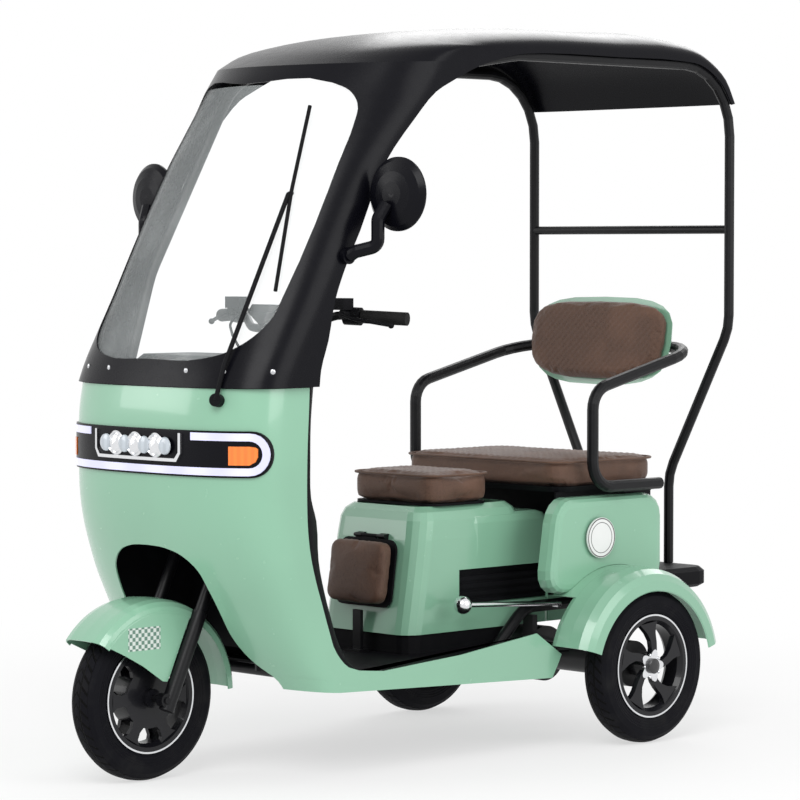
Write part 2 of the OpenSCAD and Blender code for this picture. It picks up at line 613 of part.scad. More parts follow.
// Place of the vents in the sides of the seat box, grown by m
vent_front = -440;
vent_back = -96;
vent_low = 380;
vent_high = 475;
module recess(m) translate([recess_x - m, vent_front - m, vent_low - m])
  cube([60, vent_back - vent_front + 2 * m, vent_high - vent_low + 2 * m]);
module side_vents() color(black) on_axle() both_sides() difference() {
  translate([recess_x + fit, vent_front + fit, vent_low + 2])
    cube([10, vent_back - vent_front - 2 * fit, vent_high - vent_low - 4]);
  for (k = [0 : 3]) translate([recess_x + 6, vent_front + 10, vent_low + 12 + 21 * k])
    cube([10, vent_back - vent_front - 20, 9]);
}

// Support of the small front seat: a post on the floor and two knuckles on the seat box
hinge_y = -603.5;
hinge_z = 566.5;
knuckle_r = 5;
module child_seat_bracket() color(black) on_axle() {
  translate([-15, -652, floor_z]) cube([30, 10, 110]);
  translate([-30, -672, floor_z]) cube([60, 44, 6]);
  both_sides() translate([30, 0, 0]) {
    translate([0, hinge_y, hinge_z]) along_x() cylinder(r = knuckle_r, h = 28, $fn = round_fn);
    rotate([90, 0, 90]) linear_extrude(height = 28) polygon([[hinge_y, hinge_z - 4], [-592.2, 550],
      [-590.6, 560], [-588.6, 573], [hinge_y, hinge_z + 4]]);
  }
}

module hand_brake() color(silver) on_axle() {
  rod([240, -494, 391], [240, -125, 369], 7);
  translate([240, -494, 391]) sphere(r = 24, $fn = round_fn);
  rod([240, -125, 366], [rail_x + rail_r + fit, -125, 366], 9);
}

// Body core: a storage bin under the bench, with a wing at each side of the seat box
core_front = -74;
wing_front = -188;
core_back = 190;
core_top = bench_plate_z - fit;
core_low = 430;
bin_wall = 6;
lower_x = box_half_w - box_wall - 2;
module rear_core() color(black) on_axle() {
  difference() {
    union() {
      translate([-core_x, core_front, core_low])
        cube([2 * core_x, core_back - core_front, core_top - core_low]);
      translate([-lower_x, core_front, 384]) cube([2 * lower_x, core_back - core_front, core_low - 383]);
      both_sides() translate([core_x - bin_wall, wing_front, core_low])
        cube([bin_wall, core_front - wing_front + bin_wall, core_top - core_low]);
    }
    translate([-core_x + bin_wall, core_front + bin_wall, core_low + bin_wall])
      cube([2 * (core_x - bin_wall), core_back - core_front - 2 * bin_wall, 400]);
    translate([-lower_x + bin_wall, core_front + bin_wall, 384 + bin_wall])
      cube([2 * (lower_x - bin_wall), core_back - core_front - 2 * bin_wall, 400]);
    both_sides() translate([core_x - bin_wall - 4, lug_y - fit, lug_z]) cube([20, lug_w + 2 * fit, 20]);
  }
}
// Lugs of the seat rail lie on the core's rim, over the side panels
lug_y = 20;
lug_w = 110;
lug_z = 668 + fit;

// A side panel is a pillow whose front edge leans back: distance out, inset of its edge
panel_rows = [[core_x + fit, 0], [side_x - 22, 0], [side_x - 8, 5], [side_x - 2, 13], [side_x, 26]];
panel_y = -40;
panel_half = 228;
panel_low = 405;
panel_high = 660;
panel_lean = 40;
function leaned(q) = [q[0] + panel_y + panel_lean * (q[1] - panel_low) / (panel_high - panel_low)
  * max(0, -q[0] / panel_half), q[1], q[2]];
module side_panels() color(mint) on_axle() both_sides() difference() {
  rotate([90, 0, 90]) ring_solid([for (p = panel_rows)
    [for (q = ring(p[0], panel_low + p[1], panel_high - p[1], panel_half - p[1], 64 - p[1])) leaned(q)]]);
  translate([core_x - 1, fender_y, fender_z]) rotate([0, 90, 0])
    cylinder(r = fender_r + fit, h = 80, $fn = 96);
}

fender_y = -8;
fender_z = 188;
fender_wall = 3;
fender_in = 345;
// Section of a rear fender: distance out, radius less the crown's
fender_rows = [[fender_in, -14], [fender_in + 11, -5], [fender_in + 27, 0], [fender_x - 70, 0],
  [fender_x - 36, -5], [fender_x - 14, -17], [fender_x - 3, -34], [fender_x, -60]];
module rear_fenders() color(mint) on_axle() both_sides()
  translate([0, fender_y, fender_z]) rotate([90, 0, 90]) {
    rotate([0, 0, 14]) rotate_extrude(angle = 148, $fn = 120) polygon(concat(
      [for (p = fender_rows) [fender_r + p[1], p[0]]],
      [for (i = [len(fender_rows) - 1 : -1 : 0]) [fender_r + fender_rows[i][1] - fender_wall,
        fender_rows[i][0] - (i > 4 ? fender_wall : 0)]]));
    // Flange that holds the crown to the body's core, under the side panel
    rotate([0, 0, 48]) rotate_extrude(angle = 84, $fn = 120)
      translate([fender_r - fender_wall + 0.5, core_x + fit])
        square([fender_wall - 1, fender_in + 30 - core_x]);
  }

bumper_top = 440;
module rear_bumper() color(black) on_axle() difference() {
  ring_solid([ring(384, core_back + 12, 405, 300, 50), ring(393, core_back + fit, 416, 312, 50),
    ring(428, core_back + fit, 416, 312, 50), ring(bumper_top, core_back + fit, 404, 300, 44)]);
  both_sides() translate([core_x, fender_y, fender_z]) rotate([0, 90, 0])
    cylinder(r = fender_r + 2, h = 80, $fn = 96);
}
module tail_lamps() color("red") on_axle() both_sides()
  translate([185, 416 + fit, 394]) cube([80, 9, 32]);

// Seat rail and armrests: one tube from armrest to armrest, behind the backrest
module seat_hoop() color(black) on_axle() {
  rail = bench_plate_z + 12;
  side_pts = [[hoop_x, 165, rail], [hoop_x, -104, rail], [hoop_x, -104, 946], [hoop_x, 330, 1052]];
  bent_tube(concat(side_pts, [for (i = [3 : -1 : 0]) [-side_pts[i][0], side_pts[i][1], side_pts[i][2]]]),
    [0, 70, 66, 118, 118, 66, 70, 0], hoop_r);
  both_sides() translate([core_x - bin_wall, lug_y, lug_z])
    cube([hoop_x - core_x + bin_wall, lug_w, bench_plate_z - fit - lug_z]);
}

// Backrest: height along its face, half width inset, thickness
back_z = 1068;
back_tilt = 8;
module at_backrest() translate([0, 287.2, back_z]) rotate([-back_tilt, 0, 0]) children();
// Outline of the backrest, shrunk by m: wider at its shoulders than at its foot
function back_outline(y, m) = [for (k = [0 : 23]) let (a = 15 * k, c = cos(a), s = sin(a))
  [(back_half_w - m) * sign(c) * pow(abs(c), 0.62) * (1 + 0.05 * s), y,
   (125 - m) * sign(s) * pow(abs(s), 0.62)]];
module backrest_cushion() color(brown) on_axle() at_backrest() ring_solid([
  back_outline(12, 3), back_outline(-12, 2), back_outline(-22, 12), back_outline(-26, 30)]);
module backrest_shell() color(mint) on_axle() at_backrest() ring_solid([
  back_outline(27, 26), back_outline(22, 7), back_outline(12 + fit, 0)]);

// Rear axle with its drive in the middle and a brake drum at each end
stub_x = track / 2 + 20;
axle_tube_r = 40;
module rear_axle() color(black) on_axle() translate([0, 0, tyre_r]) {
  both_sides() rod([60, 0, 0], [track / 2 - 75, 0, 0], axle_tube_r);
  both_sides() rod([track / 2 - 75, 0, 0], [track / 2 - 36, 0, 0], 62);
  both_sides() rod([track / 2 - 36, 0, 0], [stub_x, 0, 0], axle_r);
  rod([-70, 0, 0], [70, 0, 0], 76);
}
// Leaf springs hang under the rails and pass over the axle
spring_r = 550;
spring_w = 44;
spring_leaf = 9;
spring_turn = 22;
spring_z = tyre_r + axle_tube_r + fit;
// Shackles at the springs' ends: place along the rail, top
shackles = [[-198, 341], [198, rear_rail_z - rail_r - fit]];
module rear_springs() color(black) on_axle() both_sides() {
  translate([rail_x - spring_w / 2, 0, spring_z + spring_r]) rotate([90, 0, 90])
    rotate([0, 0, 270 - spring_turn]) rotate_extrude(angle = 2 * spring_turn, $fn = 96)
      translate([spring_r - spring_leaf, 0]) square([spring_leaf, spring_w]);
  translate([rail_x - spring_w / 2, -60, spring_z + spring_leaf - 1]) cube([spring_w, 120, spring_leaf]);
  for (s = shackles) translate([rail_x - 18, s[0] - 9, 275]) cube([36, 18, s[1] - 275]);
}

module battery() color("#3a3d42") on_axle()
  translate([-125, -560, plinth_z + 2 * box_wall + fit]) cube([250, 320, 170]);

// Steering, drawn upright about the front axle and leaned by raked()

clamp_s = 432;
module steering_fork() color(black) on_axle() raked() {
  translate([0, fork_set_back, 0]) {
    both_sides() {
      translate([leg_x, 0, -22]) cylinder(r = leg_r, h = 262, $fn = round_fn);
      translate([leg_x, 0, 240]) cylinder(r = 15, h = clamp_s - 240, $fn = round_fn);
      translate([leg_x - 12, -fork_set_back, 0]) along_x() cylinder(r = 17, h = 24, $fn = round_fn);
    }
    translate([0, 0, clamp_s]) linear_extrude(height = 26) {
      both_sides() translate([leg_x, 0]) circle(r = 22, $fn = round_fn);
      translate([-leg_x, -22]) square([2 * leg_x, 44]);
    }
    translate([0, 0, clamp_s + 26]) cylinder(r = stem_r, h = stem_top - clamp_s - 26, $fn = round_fn);
  }
  along_x() translate([0, 0, -leg_x - 16]) cylinder(r = axle_r, h = 2 * leg_x + 32, $fn = round_fn);
}
// End of the steering stem, along the fork
stem_top = 955;

// Handlebar: left half from the clamp to the grip's end
bar_pts = [[0, -942, 1118], [95, -936, 1121], [178, -886, 1156], [352, -812, 1148]];
bar_bends = [0, 60, 60, 0];
bar_post_r = 19;
grip_dir = unit(bar_pts[3] - bar_pts[2]);
function along_grip(s) = bar_pts[3] - grip_dir * s;
module handlebar() color(black) on_axle() {
  both_sides() bent_tube(bar_pts, bar_bends, bar_r);
  raked() translate([0, fork_set_back, stem_top + fit]) cylinder(r = bar_post_r, h = 16, $fn = round_fn);
  rod([0, stem_y(1078), 1078], bar_pts[0], bar_post_r);
}
grip_r = 17;
module grips() color("#151515") on_axle() both_sides() {
  difference() {
    rod(along_grip(118), along_grip(-6), grip_r);
    rod(along_grip(119), along_grip(-fit), bar_r + fit / 2);
  }
}
module bar_controls() color(black) on_axle() {
  both_sides() difference() {
    union() {
      rod(along_grip(166), along_grip(122), 23);
      rod(along_grip(146), along_grip(146) + [0, -38, 6], 12);
      translate(along_grip(190) + [0, -24, 14]) cube([52, 34, 30]);
    }
    rod(along_grip(170), along_grip(120), bar_r + fit / 2);
  }
  both_sides() {
    bent_tube([along_grip(146) + [0, -40, 6], along_grip(105) + [0, -52, -4],
      along_grip(6) + [0, -42, -16]], [0, 40, 0], 5);
    translate(along_grip(6) + [0, -42, -16]) sphere(r = 8, $fn = 32);
  }
  difference() {
    translate([0, -954, 1150]) rotate([-40, 0, 0]) translate([-52, -34, -12]) cube([104, 68, 26]);
    both_sides() rod(bar_pts[0], bar_pts[1], bar_r + fit);
    rod([0, stem_y(1078), 1078], bar_pts[0], bar_post_r + fit);
  }
}

// Front mudguard: crown about the axle, and a flank in front of each leg
mudguard_x = 79;
guard_wall = 3;
crown_rows = [[mudguard_r - 34, mudguard_x], [mudguard_r - 18, mudguard_x - 3],
  [mudguard_r - 7, mudguard_x - 14], [mudguard_r - 2, mudguard_x - 34], [mudguard_r, 0]];
// Lower edge of a flank, about the axle: y, z; its upper edge is an arc inside the crown
flank_foot = [[-163, 140], [-120, 120], [-60, 88], [2, 46], [16, 44], [24, 58]];
flank = concat(flank_foot, [for (a = [66 : 12 : 138]) (mudguard_r - 28) * [cos(a), sin(a)]]);
// Half the crown's section with its wall taken off
crown_inside = [for (i = [0 : 3]) crown_rows[i] - guard_wall * [i > 1 ? 1 : 0, i < 3 ? 1 : 0]];
function flipped(rows) = [for (i = [len(rows) - 1 : -1 : 0]) [rows[i][0], -rows[i][1]]];
module front_mudguard() color(mint) on_axle() {
  difference() {
    at_front_wheel() rotate([90, 0, 90]) rotate([0, 0, 2]) rotate_extrude(angle = 139, $fn = 120)
      polygon(concat(crown_rows, [for (i = [1 : 4]) flipped(crown_rows)[i]],
        [for (i = [0 : 3]) [crown_inside[i][0], -crown_inside[i][1]]], [[mudguard_r - guard_wall, 0]],
        [for (i = [3 : -1 : 0]) crown_inside[i]]));
    raked() translate([0, fork_set_back, 0]) both_sides() translate([leg_x, 0, 0])
      cylinder(r = leg_r + fit, h = 400, $fn = round_fn);
  }
  at_front_wheel() both_sides() translate([mudguard_x - guard_wall - 0.4, 0, 0]) rotate([90, 0, 90])
    linear_extrude(height = guard_wall) polygon(flank);
}

// Hose of the front brake: from the right lever down to the stem; points chosen by hand
hose_r = 3.5;
hose_x = -stem_r - hose_r - 0.5;
hose_route = [[-203.6, -895.4, 1158.3], [-187, -907, 1153], [-160, -954, 1128], [-128, -972, 1100],
  [-90, -984, 1072], [-50, -990, 1040], [hose_x, stem_y(1005), 1005], [hose_x, stem_y(930), 930]];
module brake_hose() color(black) on_axle() bent_tube(hose_route, [0, 15, 40, 60, 60, 40, 20, 0], hose_r);

// Seats

// A seat cushion: height above its plate, inset
function cushion_rows(z, h) = [[z, 6], [z + 0.25 * h, 0], [z + 0.7 * h, 0], [z + 0.9 * h, 7], [z + h, 24]];
module rider_cushion() color(brown) on_axle()
  soft_box(-534, -296, seat_half_w, 48, cushion_rows(seat_plate_z + 6 + fit, seat_h));
module rider_seat_plate() color(black) on_axle()
  soft_box(-526, -304, seat_half_w - 10, 40, [[seat_plate_z, 0], [seat_plate_z + 6, 0]]);
module bench_cushion() color(brown) on_axle()
  soft_box(-200, 206, bench_half_w, 62, cushion_rows(bench_plate_z + 14 + fit, bench_h));
module bench_plate() color(black) on_axle()
  soft_box(-192, 198, bench_half_w - 10, 50, [[bench_plate_z, 6], [bench_plate_z + 14, 0]]);
child_z = 470;
module at_child_seat() translate([0, -614, child_z]) rotate([-8, 0, 0]) children();
module child_cushion() color(brown) on_axle() at_child_seat() rotate([90, 0, 0])
  soft_box(-88, 88, child_half_w, 34, [[6 + fit, 5], [16, 0], [42, 0], [52, 7], [56, 18]]);
module child_seat_plate() color(black) on_axle() {
  at_child_seat() rotate([90, 0, 0]) soft_box(-90, 90, child_half_w, 30, [[0, 0], [6, 0]]);
  at_child_seat() translate([-27, -6, 84]) cube([54, 6, 12]);
  translate([-29, hinge_y, hinge_z]) along_x() cylinder(r = knuckle_r, h = 58, $fn = round_fn);
}

frame();
floorboard();
front_cowl();
leg_shield();
dashboard();
wheel_arch_liner();
lamp_band();
head_lamps();
light_guide();
front_indicators();
windshield_frame();
windshield_glass();
wiper();
roof_panel();
canopy_tubes();
mirrors();
seat_box();
side_vents();
child_seat_bracket();
hand_brake();
rear_core();
side_panels();
seat_hoop();
backrest_cushion();
backrest_shell();
rear_fenders();
rear_bumper();
tail_lamps();
rear_axle();
rear_springs();
battery();
steering_fork();
handlebar();
grips();
bar_controls();
front_mudguard();
brake_hose();
front_tyre();
front_rim();
rear_tyre_left();
rear_rim_left();
rear_tyre_right();
rear_rim_right();
rider_cushion();
rider_seat_plate();
bench_cushion();
bench_plate();
child_cushion();
child_seat_plate();
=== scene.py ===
"""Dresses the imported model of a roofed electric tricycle: finishes, shells, lamps, seats and fittings."""

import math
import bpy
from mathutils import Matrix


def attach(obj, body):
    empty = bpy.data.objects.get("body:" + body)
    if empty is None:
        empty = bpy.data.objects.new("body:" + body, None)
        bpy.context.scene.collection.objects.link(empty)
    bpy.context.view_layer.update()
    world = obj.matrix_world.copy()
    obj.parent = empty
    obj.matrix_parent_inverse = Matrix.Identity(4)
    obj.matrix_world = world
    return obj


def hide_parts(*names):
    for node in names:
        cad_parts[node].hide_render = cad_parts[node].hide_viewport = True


bl_info = {
    "name": "Electric tricycle dresser",
    "version": (1, 0, 0),
    "blender": (4, 5, 0),
    "location": "3D View > Sidebar > Tricycle",
    "description": "Adds finishes, shells, lamps, seats and fittings to the model of an electric tricycle",
    "category": "Object",
}

import bmesh
import bpy
from mathutils import Matrix, Vector

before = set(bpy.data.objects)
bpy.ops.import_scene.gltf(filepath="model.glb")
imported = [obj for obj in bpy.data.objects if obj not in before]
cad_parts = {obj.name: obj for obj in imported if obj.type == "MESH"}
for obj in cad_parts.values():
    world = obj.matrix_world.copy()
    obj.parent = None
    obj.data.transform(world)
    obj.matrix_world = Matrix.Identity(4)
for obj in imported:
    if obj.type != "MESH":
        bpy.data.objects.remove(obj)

AXLE_Y = 0.5825
FRONT_AXLE = Vector((0, AXLE_Y - 1.384, 0.208))
REAR_AXLES = {
    "wheel_rear_left": Vector((0.4315, AXLE_Y, 0.208)),
    "wheel_rear_right": Vector((-0.4315, AXLE_Y, 0.208)),
}


def place_at(x, y, z):
    """A place in millimetres, counted from the rear axle along Y, as a vector in metres."""
    return Vector((x, y, z)) / 1000 + Vector((0, AXLE_Y, 0))


# Shader sums ----------------------------------------------------------------------------------


class Sum:
    """A number socket in a node tree, so that shader maths reads as an expression."""

    def __init__(self, tree, socket):
        self.tree = tree
        self.socket = socket

    def _math(self, operation, *values):
        return self.tree.node("ShaderNodeMath", {"operation": operation}, dict(enumerate(values))).out(0)

    def __add__(self, other):
        return self._math("ADD", self, other)

    __radd__ = __add__

    def __sub__(self, other):
        return self._math("SUBTRACT", self, other)

    def __rsub__(self, other):
        return self._math("SUBTRACT", other, self)

    def __mul__(self, other):
        return self._math("MULTIPLY", self, other)

    __rmul__ = __mul__

    def __truediv__(self, other):
        return self._math("DIVIDE", self, other)

    def __gt__(self, other):
        return self._math("GREATER_THAN", self, other)

    def __lt__(self, other):
        return self._math("LESS_THAN", self, other)

    def apart(self):
        return self._math("ABSOLUTE", self)

    def root(self):
        return self._math("SQRT", self)

    def sine(self):
        return self._math("SINE", self)

    def fraction(self):
        return self._math("FRACT", self)

    def angle_to(self, other):
        return self._math("ARCTAN2", self, other)

    def greater(self, other):
        return self._math("MAXIMUM", self, other)

    def step(self, low, high):
        """0 below low, 1 above high, and smooth between them."""
        settings = {"interpolation_type": "SMOOTHSTEP"}
        return self.tree.node("ShaderNodeMapRange", settings, {0: self, 1: low, 2: high}).out(0)


class Finish:
    """A material whose nodes are made by one method."""

    def __init__(self, name, **constants):
        self.material = bpy.data.materials.new(name)
        self.material.use_nodes = True
        self.nodes = self.material.node_tree.nodes
        self.links = self.material.node_tree.links
        self.nodes.clear()
        self.shader = self.node("ShaderNodeBsdfPrincipled", {}, constants)
        self.output = self.node("ShaderNodeOutputMaterial", {}, {0: self.shader.out(0)})

    def node(self, kind, settings, values):
        """A node with its settings made first, then the values or links of its sockets."""
        made = Made(self, self.nodes.new(kind))
        for key, value in settings.items():
            setattr(made.item, key, value)
        for key, value in values.items():
            self.set(made.item.inputs[key], value)
        return made

    def set(self, socket, value):
        if isinstance(value, Sum):
            self.links.new(value.socket, socket)
        elif isinstance(value, (tuple, list)) and len(value) == 3 and socket.type == "RGBA":
            socket.default_value = (*value, 1)
        else:
            socket.default_value = value

    def feed(self, **inputs):
        for key, value in inputs.items():
            self.set(self.shader.item.inputs[key.replace("_", " ")], value)
        return self

    def place(self, centre=(0, 0, 0)):
        """Object coordinates from a centre, as three numbers."""
        coordinates = self.node("ShaderNodeTexCoord", {}, {}).out("Object")
        moved = self.node("ShaderNodeVectorMath", {"operation": "SUBTRACT"}, {0: coordinates, 1: centre})
        parts = self.node("ShaderNodeSeparateXYZ", {}, {0: moved.out(0)})
        return parts.out(0), parts.out(1), parts.out(2)

    def noise(self, scale, detail=2.0, roughness=0.5):
        coordinates = self.node("ShaderNodeTexCoord", {}, {}).out("Object")
        values = {"Vector": coordinates, "Scale": scale, "Detail": detail, "Roughness": roughness}
        return self.node("ShaderNodeTexNoise", {}, values).out(0)

    def cells(self, scale, feature="F1"):
        coordinates = self.node("ShaderNodeTexCoord", {}, {}).out("Object")
        values = {"Vector": coordinates, "Scale": scale}
        return self.node("ShaderNodeTexVoronoi", {"feature": feature}, values).out("Distance")

    def blend(self, amount, first, second):
        values = {0: amount, 6: first, 7: second}
        return self.node("ShaderNodeMix", {"data_type": "RGBA"}, values).out(2)

    def relief(self, height, distance=0.001, strength=1.0):
        values = {"Height": height, "Distance": distance, "Strength": strength}
        return self.feed(Normal=self.node("ShaderNodeBump", {}, values).out(0))


class Made:
    """A node and its tree; out gives one of its sockets as a number."""

    def __init__(self, tree, item):
        self.tree = tree
        self.item = item

    def out(self, key):
        return Sum(self.tree, self.item.outputs[key])


# Finishes -------------------------------------------------------------------------------------


def shaded(colour, share):
    return tuple(min(1.0, c * share) for c in colour)


def moulded_gloss(name, colour, coat=0.5, roughness=0.2, level=0.5):
    """Lacquered panels: a clear coat over a colour that drifts a little."""
    finish = Finish(name, **{"Coat Weight": coat, "Coat Roughness": 0.05, "Specular IOR Level": level})
    drift = finish.noise(3.0)
    finish.feed(Base_Color=finish.blend(drift.step(0.35, 0.65), shaded(colour, 0.95), colour))
    finish.feed(Roughness=roughness + 0.1 * finish.noise(40.0))
    return finish.relief(finish.noise(160.0), 0.0003, 0.06).material


def checked_panel(name, colour):
    """The mudguard's lacquer, with a checker of white and dark squares low on its flanks."""
    finish = Finish(name, **{"Coat Weight": 0.5, "Coat Roughness": 0.05})
    x, y, z = finish.place(tuple(FRONT_AXLE))
    square = 0.019
    column = (y / square).fraction() > 0.5
    row = (z / square).fraction() > 0.5
    odd = (column - row).apart()
    low = 0.128
    field = (y < -0.006) * (y > -0.108) * (z > low) * (z < low + 3 * square) * (x.apart() > 0.0745)
    squares = finish.blend(odd, (0.1, 0.2, 0.15), (0.6, 0.66, 0.62))
    drift = finish.noise(3.0).step(0.35, 0.65)
    lacquer = finish.blend(drift, shaded(colour, 0.95), colour)
    finish.feed(Base_Color=finish.blend(field, lacquer, squares))
    finish.feed(Roughness=0.2 + 0.1 * finish.noise(40.0))
    return finish.relief(finish.noise(160.0), 0.0003, 0.06).material


def moulded_matt(name, colour, grain=0.4, level=0.08):
    """Black mouldings with a pebbled grain."""
    finish = Finish(name, **{"Specular IOR Level": level})
    worn = finish.noise(14.0, 4.0)
    finish.feed(Base_Color=finish.blend(worn.step(0.45, 0.8), colour, shaded(colour, 1.6)))
    finish.feed(Roughness=0.42 + 0.16 * worn)
    return finish.relief(finish.cells(900.0), 0.0006, grain).material


def tube_paint(name, colour):
    """Powder paint on steel tubes."""
    finish = Finish(name, **{"Specular IOR Level": 0.2, "Coat Weight": 0.04, "Coat Roughness": 0.15})
    finish.feed(Base_Color=finish.blend(finish.noise(30.0).step(0.5, 0.8), colour, shaded(colour, 1.5)))
    finish.feed(Roughness=0.32 + 0.15 * finish.noise(60.0))
    return finish.relief(finish.noise(500.0), 0.0003, 0.2).material


def leather(name, colour, grain_groove_shade):
    """Grained leather cloth with rubbed high places; its grain lines are painted darker, a painted shade in
    the grooves of the grain.
    """
    finish = Finish(name, **{"Specular IOR Level": 0.35, "Sheen Weight": 0.08, "Sheen Roughness": 0.5})
    grain = finish.cells(420.0, "DISTANCE_TO_EDGE")
    # The grooves of the grain, which the bump below sinks, take the darker colour: painted shade.
    grain_with_groove_shade = finish.blend(grain.step(0.0, 0.16), grain_groove_shade, colour)
    rubbed = finish.blend(finish.noise(9.0, 3.0).step(0.42, 0.75) * 0.5, grain_with_groove_shade, shaded(colour, 1.3))
    finish.feed(Base_Color=rubbed, Roughness=0.42 + 0.18 * finish.noise(120.0))
    height = grain.step(0.0, 0.25) + 0.6 * finish.noise(1500.0)
    return finish.relief(height, 0.0007, 0.5).material


def bright(name, colour=(0.82, 0.83, 0.85), roughness=0.12):
    """Polished metal with faint smears."""
    finish = Finish(name, Metallic=1.0)
    smear = finish.noise(25.0, 3.0)
    finish.feed(Base_Color=finish.blend(smear, colour, shaded(colour, 0.85)))
    return finish.feed(Roughness=roughness + 0.12 * smear).material


def clear(name, colour, roughness=0.02, alpha=0.1):
    """Clear sheet: mostly see-through, with its gloss and faint streaks."""
    finish = Finish(name, **{"IOR": 1.45, "Coat Weight": 0.3, "Coat Roughness": 0.03})
    streaks = finish.noise(6.0, 4.0)
    finish.feed(Base_Color=finish.blend(streaks, colour, shaded(colour, 1.1)))
    finish.feed(Roughness=roughness + 0.03 * streaks, Alpha=alpha + 0.04 * streaks.step(0.4, 0.8))
    return finish.material


def lens(name, colour, ribs=260.0, glow=0.0, ribbed=0.5):
    """Lamp lens with fine upright prisms, painted darker in their troughs as shade."""
    coat = {"Coat Weight": 0.6, "Coat Roughness": 0.03}
    finish = Finish(name, **{"IOR": 1.49, "Emission Strength": glow, **coat})
    x, y, _ = finish.place()
    prisms = ((x + y) * ribs).sine()
    # The colour darkens towards the troughs of the prisms: painted shade of the prisms.
    finish.feed(Base_Color=finish.blend(prisms.step(-1.0, 1.0), shaded(colour, 0.85), colour), Roughness=0.16)
    finish.feed(Emission_Color=colour)
    return finish.relief(prisms, 0.0006, ribbed).material


def rubber(name, colour=(0.006, 0.006, 0.007)):
    """Rubber with a little dust."""
    finish = Finish(name, **{"Specular IOR Level": 0.1})
    dust = finish.noise(18.0, 5.0)
    finish.feed(Base_Color=finish.blend(dust.step(0.45, 0.85), colour, shaded(colour, 1.8)))
    finish.feed(Roughness=0.55 + 0.2 * dust)
    return finish.relief(finish.noise(700.0), 0.0005, 0.35).material


def printed(name, colour):
    """Printed film that lies on a panel."""
    finish = Finish(name, **{"Coat Weight": 0.4, "Coat Roughness": 0.08})
    finish.feed(Base_Color=finish.blend(finish.noise(30.0), colour, shaded(colour, 0.94)), Roughness=0.3)
    return finish.relief(finish.noise(300.0), 0.0001, 0.1).material


# Mesh tools -----------------------------------------------------------------------------------


def keep(bm, name, body, material, sharp=35.0, outside=True):
    """Makes a finished piece from a bmesh: its place is in its mesh, and it rides on a body."""
    if outside:
        bmesh.ops.recalc_face_normals(bm, faces=bm.faces)
    mesh = bpy.data.meshes.new(name)
    bm.to_mesh(mesh)
    bm.free()
    mesh.materials.append(material)
    for face in mesh.polygons:
        face.use_smooth = True
    mesh.set_sharp_from_angle(angle=math.radians(sharp))
    piece = bpy.data.objects.new(name, mesh)
    bpy.context.scene.collection.objects.link(piece)
    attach(piece, body)
    return piece


def apply_modifier(piece, modifier):
    with bpy.context.temp_override(object=piece, active_object=piece, selected_objects=[piece]):
        bpy.ops.object.modifier_apply(modifier=modifier.name)


def merged_node(node):
    """A bmesh of a CAD node with its loose triangles joined."""
    bm = bmesh.new()
    bm.from_mesh(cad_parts[node].data)
    bmesh.ops.remove_doubles(bm, verts=bm.verts, dist=1e-6)
    return bm


def towards(axis):
    """The turn that takes Z to an axis."""
    return Vector((0, 0, 1)).rotation_difference(Vector(axis)).to_matrix().to_4x4()


def revolve(bm, outline, centre, axis, steps=48):
    """Spins an outline of (along the axis, radius) about an axis through centre."""
    place = Matrix.Translation(centre) @ towards(axis)
    points = [bm.verts.new(place @ Vector((radius, 0, along))) for along, radius in outline]
    edges = [bm.edges.new(pair) for pair in zip(points, points[1:])]
    turn = {"cent": centre, "axis": Vector(axis), "angle": math.tau, "steps": steps}
    bmesh.ops.spin(bm, geom=points + edges, use_merge=True, **turn)
    bmesh.ops.remove_doubles(bm, verts=bm.verts, dist=1e-7)


def ring_loop(bm, points):
    """A closed loop of edges through points."""
    verts = [bm.verts.new(p) for p in points]
    return [bm.edges.new(pair) for pair in zip(verts, verts[1:] + verts[:1])]


def tube(bm, path, radius, closed=False, sides=10):
    """A round tube along a path of points."""
    count = len(path)
    loops = []
    for i, p in enumerate(path):
        back = path[(i - 1) % count] if closed or i else path[i]
        ahead = path[(i + 1) % count] if closed or i + 1 < count else path[i]
        along = (ahead - back).normalized()
        if not loops:
            side = along.orthogonal().normalized()
        side = (side - side.dot(along) * along).normalized()
        up = along.cross(side)
        turns = [math.tau * k / sides for k in range(sides)]
        ring = [p + radius * (math.cos(t) * side + math.sin(t) * up) for t in turns]
        loops.append(ring_loop(bm, ring))
    pairs = list(zip(loops, loops[1:])) + ([(loops[-1], loops[0])] if closed else [])
    for first, second in pairs:
        bmesh.ops.bridge_loops(bm, edges=first + second)
    if not closed:
        for loop in (loops[0], loops[-1]):
            bmesh.ops.edgeloop_fill(bm, edges=loop)


def plate(bm, outline, lift):
    """A flat plate with an outline, raised by a vector."""
    faces = [bm.faces.new([bm.verts.new(p) for p in outline])]
    raise_faces(bm, faces, lift)


def raise_faces(bm, faces, lift):
    """Gives faces a thickness: a copy of them is moved and joined on by walls."""
    raised = bmesh.ops.extrude_face_region(bm, geom=faces, use_keep_orig=True)["geom"]
    bmesh.ops.translate(bm, verts=[v for v in raised if isinstance(v, bmesh.types.BMVert)], vec=lift)


